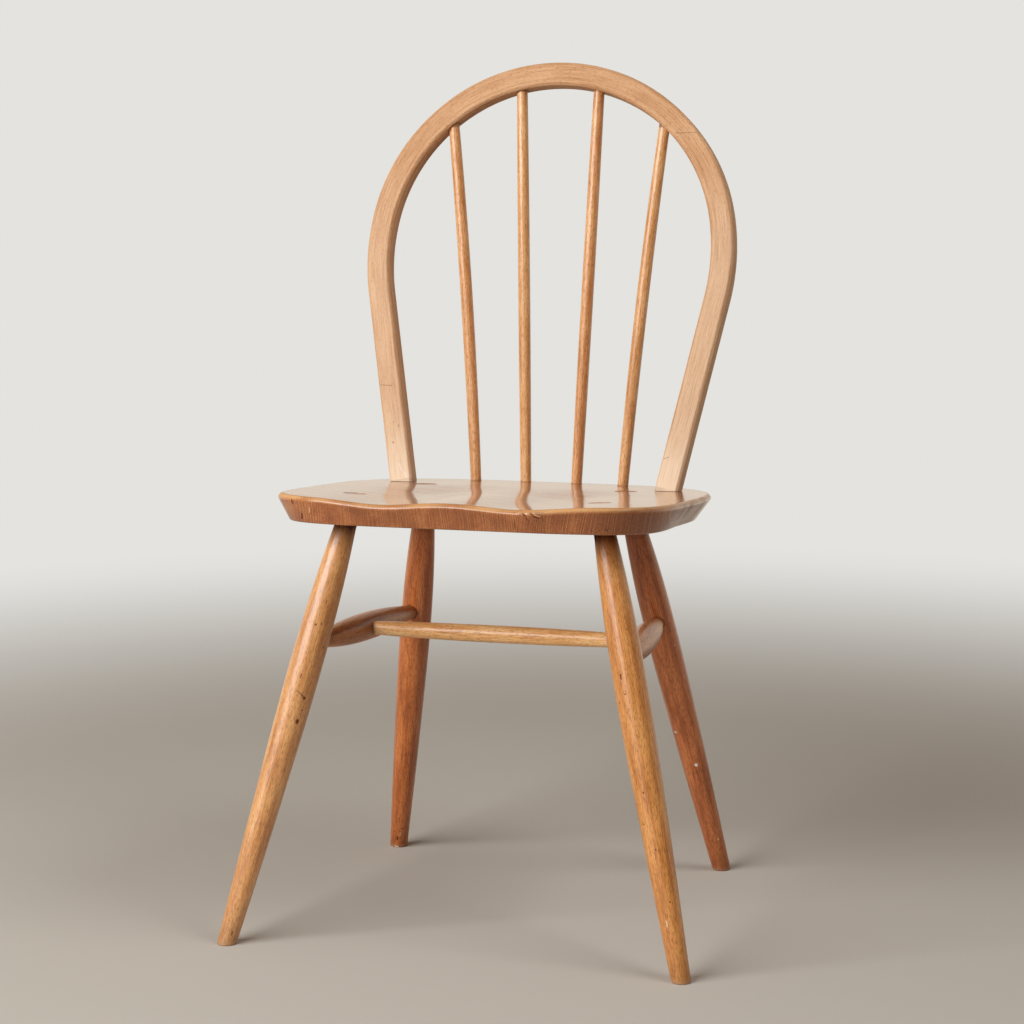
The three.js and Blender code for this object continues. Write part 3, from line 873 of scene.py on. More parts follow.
def turned_bar_tree() -> bpy.types.NodeTree:
    """Builds the tree for a lathe-turned bar along +Z.

    Returns:
        A tree whose inputs are the bar's ends, its three radii, the places between which they
        change, the powers that shape the two tapers, a sideways bow and the mesh's fineness.
    """
    sizes = (
        "From", "To", "Start Neck", "Swell At", "End Neck", "Start Radius", "Swell Radius",
        "End Radius", "Bow", "Start Power", "End Power",
    )
    tree = open_tree("turned_bar", sizes)
    size = add_node(tree, "NodeGroupInput").outputs
    low = add_node(tree, "ShaderNodeCombineXYZ", {"Z": size["From"]}).outputs[0]
    high = add_node(tree, "ShaderNodeCombineXYZ", {"Z": size["To"]}).outputs[0]
    line = add_node(tree, "GeometryNodeCurvePrimitiveLine", {"Start": low, "End": high}).outputs[0]
    line = add_node(tree, "GeometryNodeResampleCurve", {"Curve": line, "Count": size["Rings"]}).outputs[0]

    known = {socket.name: socket for socket in size}
    known["share"] = add_node(tree, "GeometryNodeSplineParameter").outputs["Factor"]
    rows = [
        # Rings crowd towards both ends, where the edges are rounded.
        ("turn", "MULTIPLY", "share", 2 * math.pi),
        ("wave", "SINE", "turn"),
        ("crowded", "MULTIPLY_ADD", "wave", -RING_CROWDING / (2 * math.pi), "share"),
        ("station", "RANGE", "crowded", 0.0, 1.0, "From", "To"),
        ("radius", "ADD", "Swell Radius", 0.0),
    ]
    for end in ("Start", "End"):
        rows += [
            ("away", "RANGE", "station", "Swell At", f"{end} Neck", 0.0, 1.0),
            ("curved", "POWER", "away", f"{end} Power"),
            ("drop", "SUBTRACT", "Swell Radius", f"{end} Radius"),
            ("loss", "MULTIPLY", "drop", "curved"),
            ("radius", "SUBTRACT", "radius", "loss"),
        ]
    rows += [
        # The bow is a parabola between the two necks.
        ("span", "RANGE", "station", "Start Neck", "End Neck", -1.0, 1.0),
        ("square", "MULTIPLY", "span", "span"),
        ("crown", "SUBTRACT", 1.0, "square"),
        ("aside", "MULTIPLY", "crown", "Bow"),
    ]
    add_rows(tree, known, rows)

    # The radius is stored first, because moving the points changes their share of the length.
    stored = add_node(
        tree, "GeometryNodeSetCurveRadius", {"Curve": line, "Radius": known["radius"]}
    ).outputs[0]
    place = add_node(
        tree, "ShaderNodeCombineXYZ", {"X": known["aside"], "Z": known["station"]}
    ).outputs[0]
    stored = add_node(tree, "GeometryNodeSetPosition", {"Geometry": stored, "Position": place}).outputs[0]
    kept = add_node(tree, "GeometryNodeInputRadius").outputs[0]
    ring = add_node(
        tree, "GeometryNodeCurvePrimitiveCircle", {"Resolution": size["Sides"], "Radius": 1.0}
    ).outputs[0]
    skin = add_node(
        tree,
        "GeometryNodeCurveToMesh",
        {"Curve": stored, "Profile Curve": ring, "Scale": kept, "Fill Caps": True},
    ).outputs[0]
    close_tree(tree, skin, size["Material"])
    return tree


def bent_bar_tree() -> bpy.types.NodeTree:
    """Builds the tree for a straight bar of rounded section that is bent to a hoop.

    Returns:
        A tree whose inputs are the section's width, depth and edge radius, the radius and angle
        of the top arc and of the two shoulder arcs, the height of the hoop's middle line at the
        top, half the bar's length and the mesh's fineness. The hoop lies in the XY plane with its
        front face at z = 0.
    """
    sizes = (
        "Width", "Depth", "Edge Radius", "Top Radius", "Top Angle",
        "Shoulder Radius", "Shoulder Angle", "Top Height", "Half Length",
    )
    tree = open_tree("bent_bar", sizes)
    size = add_node(tree, "NodeGroupInput").outputs
    known = {socket.name: socket for socket in size}

    # The straight bar: x across the bar, y through its depth, z along the grain.
    add_rows(tree, known, [("behind", "MULTIPLY", "Half Length", -1.0)])
    low = add_node(tree, "ShaderNodeCombineXYZ", {"Z": known["behind"]}).outputs[0]
    high = add_node(tree, "ShaderNodeCombineXYZ", {"Z": size["Half Length"]}).outputs[0]
    line = add_node(tree, "GeometryNodeCurvePrimitiveLine", {"Start": low, "End": high}).outputs[0]
    line = add_node(tree, "GeometryNodeResampleCurve", {"Curve": line, "Count": size["Rings"]}).outputs[0]
    section = add_node(
        tree,
        "GeometryNodeCurvePrimitiveQuadrilateral",
        {"Width": size["Width"], "Height": size["Depth"]},
    ).outputs[0]
    section = add_node(
        tree, "GeometryNodeFilletCurve", {"Curve": section, "Radius": size["Edge Radius"]}
    ).outputs[0]
    section = add_node(
        tree, "GeometryNodeResampleCurve", {"Curve": section, "Count": size["Sides"]}
    ).outputs[0]
    bar = add_node(
        tree,
        "GeometryNodeCurveToMesh",
        {"Curve": line, "Profile Curve": section, "Fill Caps": True},
    ).outputs[0]

    place = add_node(tree, "GeometryNodeInputPosition").outputs[0]
    part = add_node(tree, "ShaderNodeSeparateXYZ", {0: place}).outputs
    known |= {"x": part["X"], "y": part["Y"], "z": part["Z"]}
    rows = [
        # How far along the bar a point lies, on which side, and how long the arcs are.
        ("run", "ABSOLUTE", "z"),
        ("side", "SIGN", "z"),
        ("top arc", "MULTIPLY", "Top Radius", "Top Angle"),
        ("shoulder arc", "MULTIPLY", "Shoulder Radius", "Shoulder Angle"),
        ("arcs", "ADD", "top arc", "shoulder arc"),
        # The angles of the bend there, and the length of straight foot.
        ("top", "RANGE", "run", 0.0, "top arc", 0.0, "Top Angle"),
        ("past", "RANGE", "run", "top arc", "arcs", 0.0, "Shoulder Angle"),
        ("full", "ADD", "top", "past"),
        ("beyond", "SUBTRACT", "run", "arcs"),
        ("straight", "MAXIMUM", "beyond", 0.0),
        ("sine top", "SINE", "top"),
        ("cosine top", "COSINE", "top"),
        ("sine full", "SINE", "full"),
        ("cosine full", "COSINE", "full"),
        # Across: top arc, shoulder arc, straight foot, then the width of the section itself.
        ("step", "SUBTRACT", "sine full", "sine top"),
        ("out", "MULTIPLY", "sine top", "Top Radius"),
        ("out", "MULTIPLY_ADD", "step", "Shoulder Radius", "out"),
        ("out", "MULTIPLY_ADD", "cosine full", "straight", "out"),
        ("out", "MULTIPLY_ADD", "sine full", "x", "out"),
        ("out", "MULTIPLY", "out", "side"),
        # Height: the same three stretches, measured down from the top.
        ("rise", "SUBTRACT", 1.0, "cosine top"),
        ("lower", "SUBTRACT", "cosine top", "cosine full"),
        ("fall", "MULTIPLY", "rise", "Top Radius"),
        ("fall", "MULTIPLY_ADD", "lower", "Shoulder Radius", "fall"),
        ("fall", "MULTIPLY_ADD", "sine full", "straight", "fall"),
        ("up", "SUBTRACT", "Top Height", "fall"),
        ("up", "MULTIPLY_ADD", "cosine full", "x", "up"),
        ("back", "MULTIPLY_ADD", "Depth", -0.5, "y"),
    ]
    add_rows(tree, known, rows)
    bent = add_node(
        tree, "ShaderNodeCombineXYZ", {"X": known["out"], "Y": known["up"], "Z": known["back"]}
    ).outputs[0]
    hoop = add_node(tree, "GeometryNodeSetPosition", {"Geometry": bar, "Position": bent}).outputs[0]
    close_tree(tree, hoop, size["Material"])
    return tree


def grow(
    name: str, tree: bpy.types.NodeTree, inputs: Mapping[str, Any]
) -> bpy.types.Object:
    """Makes a plain mesh object from a Geometry Nodes tree.

    Args:
        name: the new object's name.
        tree: the tree.
        inputs: a value for each named input of the tree.

    Returns:
        The new object, with no modifier left on it.
    """
    piece = mesh_object(name, np.zeros((0, 3)), [])
    step = piece.modifiers.new(tree.name, "NODES")
    step.node_group = tree
    for item in tree.interface.items_tree:
        if item.in_out == "INPUT":
            step[item.identifier] = inputs[item.name]
    settle(piece)
    return piece


# Seat

@dataclass
class SeatBoard:
    """The dished elm seat, the piece that every other one is fixed into."""

    half_width: float = 198.0
    widest_y: float = -47.5
    front_reach: float = 154.0
    back_reach: float = 222.0
    front_squareness: float = 4.0
    back_squareness: float = 3.5
    height: float = 424.7
    fall: float = 0.094
    thickness: float = 26.5
    edge_round: float = 5.0
    lower_round: float = 1.6
    front_undercut: float = 10.0
    back_undercut: float = 17.0
    undercut_fade: tuple[float, float] = (-0.7, 0.3)
    hollow_depth: float = 4.5
    hollow_x: float = 68.0
    hollow_spread: float = 45.0
    hollow_fade: tuple[float, float] = (-45.0, 70.0)
    top_wave: float = 0.08
    wave_lengths: tuple[float, ...] = (23.0, 31.0, 47.0, 71.0)
    arris_inset: float = 2.0
    arris_depth: float = 1.5
    arris_spread: tuple[float, float] = (3.5, 3.0)
    arris_wear: float = 0.62
    arris_waves: tuple[float, ...] = (35.0, 61.0, 17.0)
    uneven_wear: float = 0.5
    corner_wear: float = 0.35
    joint_grime: Fade = Fade(0.35, 0.6)
    edge_margins: Place = (1.0, 3.0)  # how far the edge's dirt keeps from the underside, and runs in
    rubbed_corners: tuple[tuple[float, float, float], ...] = (  # x, y and reach
        (-181.0, -161.0, 30.0),
        (150.0, -190.0, 45.0),
    )
    grimy_patches: tuple[tuple[float, float, float, float], ...] = (  # x, y, reach and amount
        (170.0, -170.0, 45.0, 0.38),
        (198.0, -69.0, 12.0, 0.45),
        (197.0, -41.0, 14.0, 0.4),
        (197.0, 17.0, 20.0, 0.4),
        (89.5, -198.5, 10.0, 0.4),
    )
    edge_marks: tuple[tuple[MarkKind, Place, Place, float], ...] = (  # both ends as x and height
        (MarkKind.DARK, (66.3, 438.0), (64.7, 420.0), 0.85),
        (MarkKind.DARK, (-162.5, 437.0), (-161.8, 433.5), 2.4),
        (MarkKind.DARK, (-152.5, 423.6), (-153.6, 418.7), 2.2),
        (MarkKind.PALE, (-141.5, 431.2), (-142.5, 426.9), 1.2),
        (MarkKind.DARK, (74.8, 438.0), (83.1, 439.0), 1.0),
        (MarkKind.PALE, (86.5, 435.2), (90.5, 434.2), 2.0),
        (MarkKind.DARK, (81.7, 436.9), (85.8, 432.8), 1.5),
        (MarkKind.DARK, (85.8, 432.8), (89.5, 431.4), 0.8),
        (MarkKind.DARK, (83.1, 439.0), (88.0, 437.4), 0.8),
        (MarkKind.DARK, (91.6, 433.7), (93.8, 429.1), 0.8),
        (MarkKind.DARK, (77.0, 432.0), (79.5, 428.5), 0.9),
        (MarkKind.DARK, (74.5, 436.5), (76.5, 434.0), 1.6),
        (MarkKind.DARK, (86.5, 436.0), (91.0, 434.6), 1.0),
        (MarkKind.DARK, (136.0, 420.5), (136.5, 419.5), 1.2),
        (MarkKind.DARK, (142.0, 419.5), (143.5, 420.5), 1.0),
        (MarkKind.DARK, (149.0, 421.0), (150.0, 419.5), 1.2),
    )
    slices: int = 480
    under_rings: int = 24
    corner_steps: tuple[float, ...] = (0.2, 0.4, 0.6, 0.8, 1.0)
    face_rings: int = 12
    edge_rings: int = 12
    top_rings: int = 88
    sockets: list[tuple[Cut, np.ndarray, Faces]] = field(default_factory=list)
    joints: list[tuple[Vector, Vector, float]] = field(default_factory=list)

    @property
    def front_y(self) -> float:
        """The front edge on the middle line."""
        return self.widest_y - self.front_reach

    @property
    def back_y(self) -> float:
        """The back edge on the middle line."""
        return self.widest_y + self.back_reach

    def rim_height(self, y: Any) -> Any:
        """Height of the flat rim."""
        return self.height - self.fall * y

    def top(self, x: Any, y: Any) -> Any:
        """Height of the dished top."""
        left = np.exp(-(((x + self.hollow_x) / self.hollow_spread) ** 2))
        right = np.exp(-(((x - self.hollow_x) / self.hollow_spread) ** 2))
        fade = 1.0 - smoothstep(np.asarray(y), *self.hollow_fade)
        return self.rim_height(y) - self.hollow_depth * (left + right) * fade

    def top_point(self, x: float, y: float) -> Vector:
        """A point on the top."""
        return Vector((x, y, float(self.top(x, y))))

    def tangent(self, x: float, y: float, lift: float) -> Matrix:
        """A frame on the top with +Z along its normal, raised by a small height."""
        step = 1.0
        slope_x = float(self.top(x + step, y) - self.top(x - step, y)) / (2 * step)
        slope_y = float(self.top(x, y + step) - self.top(x, y - step)) / (2 * step)
        point = self.top_point(x, y) + Vector((0, 0, lift))
        return axis_matrix(point, point + Vector((-slope_x, -slope_y, 1.0)))

    def under_plane(self, depth: float) -> Matrix:
        """A frame that runs with the rim, lowered by a depth."""
        turn = Matrix.Rotation(-math.atan(self.fall), 4, "X")
        return Matrix.Translation((0, 0, self.height - depth)) @ turn

    def half_width_at(self, y: float) -> float:
        """Half the outline's width at a distance from the chair's middle."""
        at_front = y < self.widest_y
        reach = self.front_reach if at_front else self.back_reach
        power = self.front_squareness if at_front else self.back_squareness
        return self.half_width * (1 - (abs(y - self.widest_y) / reach) ** power) ** (1 / power)

    def back_edge(self, x: float) -> float:
        """The outline's back edge at a distance from the middle line."""
        across = (abs(x) / self.half_width) ** self.back_squareness
        return self.widest_y + self.back_reach * (1 - across) ** (1 / self.back_squareness)

    def _outline(self, angle: np.ndarray) -> np.ndarray:
        """Distance from the middle of the widest line to the outline."""
        at_front = np.sin(angle) < 0
        reach = np.where(at_front, self.front_reach, self.back_reach)
        power = np.where(at_front, self.front_squareness, self.back_squareness)
        across = np.abs(np.cos(angle) / self.half_width) ** power
        along = np.abs(np.sin(angle) / reach) ** power
        return (across + along) ** (-1 / power)

    def _rings(self) -> list[np.ndarray]:
        """Rings from the middle of the underside, round the edge, to the middle of the top."""
        angle = np.arange(self.slices) * 2 * np.pi / self.slices
        outline = self._outline(angle)
        share = smoothstep(np.sin(angle), *self.undercut_fade)
        inset = self.front_undercut + (self.back_undercut - self.front_undercut) * share

        def at(reach: np.ndarray) -> tuple[np.ndarray, np.ndarray]:
            return reach * np.cos(angle), self.widest_y + reach * np.sin(angle)

        def under(reach: np.ndarray) -> np.ndarray:
            x, y = at(reach)
            return np.stack([x, y, self.rim_height(y) - self.thickness], axis=1)

        def edge(turn: float) -> np.ndarray:
            x, y = at(outline - self.edge_round * (1 - math.cos(turn)))
            return np.stack([x, y, self.top(x, y) - self.edge_round * (1 - math.sin(turn))], axis=1)

        rings = []
        corner = under(outline - inset)
        side = edge(0.0)
        slope = (side - corner) / np.linalg.norm(side - corner, axis=1)[:, None]
        for step in range(1, self.under_rings + 1):
            rings.append(under((outline - inset - self.lower_round) * step / self.under_rings))
        flat = rings[-1]
        raised = corner + slope * self.lower_round
        for step in self.corner_steps:
            rings.append((1 - step) ** 2 * flat + 2 * step * (1 - step) * corner + step ** 2 * raised)
        for step in range(1, self.face_rings + 1):
            rings.append(raised + (side - raised) * step / self.face_rings)
        for step in range(1, self.edge_rings + 1):
            rings.append(edge(step / self.edge_rings * math.pi / 2))
        for step in range(1, self.top_rings):
            x, y = at((outline - self.edge_round) * (1 - step / self.top_rings))
            rings.append(np.stack([x, y, self.top(x, y)], axis=1))
        return rings

    def build(self) -> bpy.types.Object:
        """Makes the seat with its sockets.

        Returns:
            The dressed piece.
        """
        rings = self._rings()
        count = self.slices
        under = np.array([[0.0, self.widest_y, self.rim_height(self.widest_y) - self.thickness]])
        over = np.array([[0.0, self.widest_y, float(self.top(0.0, self.widest_y))]])
        points = np.vstack([under, *rings, over])
        last = len(points) - 1
        faces: Faces = [(0, 1 + (i + 1) % count, 1 + i) for i in range(count)]
        for ring in range(len(rings) - 1):
            base = 1 + ring * count
            for i in range(count):
                j = (i + 1) % count
                faces.append((base + i, base + j, base + count + j, base + count + i))
        base = 1 + (len(rings) - 1) * count
        faces.extend((base + i, base + (i + 1) % count, last) for i in range(count))
        piece = mesh_object(f"{DRESSED}seat", points, faces)
        carve(piece, self.sockets)
        points = points_of(piece)
        points[:, 2] += self.top_wave * ripple(points, self.wave_lengths, seed=7)
        set_points(piece, points)
        marks = self._marks()
        dress(piece, SEAT_ELM.material(marks), *self._fields(points), marks)
        return piece

    def _fields(self, points: np.ndarray) -> tuple[np.ndarray, np.ndarray, np.ndarray]:
        """The seat's grain runs front to back; its rim is rubbed and its joints are dirty."""
        x, y, z = points.T
        grain = np.stack([x, z - self.height, y], axis=1)
        depth = self.top(x, y) - z
        angle = np.arctan2(y - self.widest_y, x)
        rim = self._outline(angle) - np.hypot(x, y - self.widest_y)
        inwards = (rim - self.arris_inset) / self.arris_spread[0]
        downwards = (depth - self.arris_depth) / self.arris_spread[1]
        arris = np.exp(-inwards ** 2) * np.exp(-downwards ** 2)
        uneven = 1.0 + self.uneven_wear * ripple(points, self.arris_waves, seed=3)
        wear = self.arris_wear * arris * uneven
        for corner_x, corner_y, reach in self.rubbed_corners:
            away = ((x - corner_x) ** 2 + (y - corner_y) ** 2) / reach ** 2
            wear += self.corner_wear * arris * np.exp(-away)
        grime = np.zeros(len(points))
        for start, end, radius in self.joints:
            grime = np.maximum(grime, near_axis(points, start, end, radius, self.joint_grime))
        above, inside = self.edge_margins
        edge = (depth > self.arris_depth) & (depth < self.thickness - above)
        edge &= rim < self.back_undercut + inside
        for patch_x, patch_y, reach, amount in self.grimy_patches:
            away = ((x - patch_x) ** 2 + (y - patch_y) ** 2) / reach ** 2
            grime = np.maximum(grime, amount * np.exp(-away) * edge)
        return grain, wear, grime

    def _marks(self) -> list[Mark]:
        """The pits, scratches, knot cracks and glue line of the front edge."""
        marks = []
        for kind, (x1, z1), (x2, z2), width in self.edge_marks:
            ends = [(x, z - self.height, self._front_edge(x, z)) for x, z in ((x1, z1), (x2, z2))]
            marks.append(Mark(kind, *ends, width))
        return marks

    def _front_edge(self, x: float, z: float) -> float:
        """The front edge's surface at a distance from the middle line and a height."""
        y = self._front_at(x)
        drop = float(self.top(x, y)) - z
        face = self.thickness - self.edge_round
        return y + self.front_undercut * max(drop - self.edge_round, 0.0) / face

    def _front_at(self, x: float) -> float:
        """The outline's front edge at a distance from the middle line."""
        across = (abs(x) / self.half_width) ** self.front_squareness
        return self.widest_y - self.front_reach * (1 - across) ** (1 / self.front_squareness)


# Turned pieces

@dataclass
class TurnedBar:
    """A lathe-turned bar, thickest at one place and tapering towards both ends."""

    name: str
    start: Vector
    end: Vector
    start_radius: float
    swell_radius: float
    end_radius: float
    swell_at: float
    start_neck: float
    end_neck: float
    start_power: float
    end_power: float
    before: float = 0.0
    after: float = 0.0
    bow: float = 0.0
    ring_spacing: float = 1.5
    sides: int = 72
    seed: int = 1

    @property
    def length(self) -> float:
        """Distance between the two ends of the axis."""
        return (self.end - self.start).length

    @property
    def matrix(self) -> Matrix:
        """The bar's own frame: +Z along the axis from its start."""
        return axis_matrix(self.start, self.end)

    def point_at(self, distance: float) -> Vector:
        """A point on the axis."""
        return self.start + (self.end - self.start).normalized() * distance

    def own(self, points: np.ndarray) -> np.ndarray:
        """Points of the chair in the bar's own frame."""
        return moved(self.matrix.inverted(), points)

    def radius_at(self, along: float) -> float:
        """Radius of the bar at a distance from its start."""
        below = min(max((self.swell_at - along) / (self.swell_at - self.start_neck), 0.0), 1.0)
        above = min(max((along - self.swell_at) / (self.end_neck - self.swell_at), 0.0), 1.0)
        loss = (self.swell_radius - self.start_radius) * below ** self.start_power
        return self.swell_radius - loss - (self.swell_radius - self.end_radius) * above ** self.end_power

    def spot(self, along: float, turn: float) -> tuple[float, float, float]:
        """A place on the bar's surface, by its distance from the start and a turn in degrees."""
        angle = math.radians(turn)
        radius = self.radius_at(along)
        return radius * math.cos(angle), radius * math.sin(angle), along

    def blank(self, tree: bpy.types.NodeTree) -> bpy.types.Object:
        """Turns the bar, in its own frame, with the slight unevenness of hand work.

        Args:
            tree: the Geometry Nodes tree of a turned bar.

        Returns:
            The undressed bar.
        """
        whole = self.length + self.before + self.after
        piece = grow(
            DRESSED + self.name,
            tree,
            {
                "From": -self.before * MM,
                "To": (self.length + self.after) * MM,
                "Start Neck": self.start_neck * MM,
                "Swell At": self.swell_at * MM,
                "End Neck": self.end_neck * MM,
                "Start Radius": self.start_radius * MM,
                "Swell Radius": self.swell_radius * MM,
                "End Radius": self.end_radius * MM,
                "Bow": self.bow * MM,
                "Start Power": self.start_power,
                "End Power": self.end_power,
                "Rings": round(whole / self.ring_spacing),
                "Sides": self.sides,
                "Material": None,
            },
        )
        points = points_of(piece)
        uneven = 1.0 - HAND_TURNED * (1.0 + ripple(points, HAND_WAVES, self.seed)) / 2
        points[:, :2] *= uneven[:, None]
        set_points(piece, points)
        return piece

    def place(self, piece: bpy.types.Object) -> None:
        """Moves the bar from its own frame to its place in the chair."""
        set_points(piece, moved(self.matrix, points_of(piece)))


def wedge_blank(
    length: float, depth: float, clearance: float, matrix: Matrix
) -> tuple[np.ndarray, Faces]:
    """A wedge, thin end down, with its head at the frame's z = 0 and spare length above.

    Args:
        length: length across the tenon.
        depth: how far it is driven.
        clearance: room on each side, for the kerf that takes it.
        matrix: the frame of its head.

    Returns:
        The wedge's points and faces.
    """
    grade = (WEDGE_HEAD - WEDGE_TIP) / depth
    low = -depth - clearance
    points, faces = block((-length / 2, -0.5, low), (length / 2, 0.5, OVERRUN), Matrix.Identity(4))
    points[:, 1] *= WEDGE_TIP + grade * (points[:, 2] - low) + 2 * clearance
    return moved(matrix, points), faces


# Underframe

@dataclass(frozen=True)
class LegPlace:
    """Where a pair of legs enters the seat, and how far they splay."""

    side_inset: float
    edge_inset: float
    splay_x: float
    splay_y: float


@dataclass(frozen=True)
class LegMark:
    """A mark on a leg, by distances from the foot and turns about the axis in degrees."""

    kind: MarkKind
    along: float
    turn: float
    width: float
    end_along: float | None = None
    end_turn: float | None = None

    def on(self, leg: TurnedBar) -> Mark:
        """The mark in the leg's own coordinates."""
        along = self.along if self.end_along is None else self.end_along
        turn = self.turn if self.end_turn is None else self.end_turn
        return Mark(self.kind, leg.spot(self.along, self.turn), leg.spot(along, turn), self.width)


LEG_MARKS = {
    "front_left": (
        LegMark(MarkKind.DARK, 347.0, -62.0, 1.1, end_along=350.0),
        LegMark(MarkKind.DARK, 325.0, -77.0, 2.0),
        LegMark(MarkKind.DARK, 327.0, -57.0, 1.6),
        LegMark(MarkKind.DARK, 305.0, -24.0, 1.6),
        LegMark(MarkKind.DARK, 271.0, -78.0, 1.1, end_along=275.0),
        LegMark(MarkKind.DARK, 258.0, -74.0, 0.9, 255.5, -58.0),
        LegMark(MarkKind.DARK, 255.5, -58.0, 1.1, 253.0, -43.0),
        LegMark(MarkKind.DARK, 253.0, -43.0, 3.0),
        LegMark(MarkKind.DARK, 241.0, -40.0, 1.4),
        LegMark(MarkKind.DARK, 228.0, -44.0, 3.0, end_along=230.0),
        LegMark(MarkKind.DARK, 24.0, -96.0, 1.2),
        LegMark(MarkKind.DARK, 11.0, -58.0, 1.3, end_along=14.0),
    ),
    "front_right": (
        LegMark(MarkKind.DARK, 288.0, -105.0, 1.6, end_along=292.0),
        LegMark(MarkKind.DARK, 273.0, -100.0, 1.4),
        LegMark(MarkKind.DARK, 266.0, -131.0, 1.4),
        LegMark(MarkKind.DARK, 333.0, -54.0, 1.4),
        LegMark(MarkKind.DARK, 179.0, -96.0, 1.7),
        LegMark(MarkKind.DARK, 150.0, -122.0, 1.4),
        LegMark(MarkKind.DARK, 125.0, -87.0, 1.4),
        LegMark(MarkKind.DARK, 75.0, -64.0, 1.6),
        LegMark(MarkKind.PALE, 53.0, -97.0, 1.2, end_along=58.0),
    ),
    "back_left": (
        LegMark(MarkKind.DARK, 22.0, -112.0, 1.7),
        LegMark(MarkKind.DARK, 13.0, -84.0, 1.9, end_along=16.0),
        LegMark(MarkKind.DARK, 28.0, -63.0, 1.4),
        LegMark(MarkKind.DARK, 9.0, -48.0, 1.5),
        LegMark(MarkKind.DARK, 36.0, -98.0, 1.2),
        LegMark(MarkKind.PALE, 4.0, -95.0, 1.6, end_turn=-75.0),
        LegMark(MarkKind.PALE, 19.0, -70.0, 0.7, end_along=22.0),
    ),
    "back_right": (
        LegMark(MarkKind.PAINT, 269.0, -33.0, 1.4),
        LegMark(MarkKind.PAINT, 172.0, -125.0, 2.6),
        LegMark(MarkKind.PAINT, 132.0, -68.0, 3.4),
        LegMark(MarkKind.PALE, 40.0, -48.0, 1.6),
    ),
}


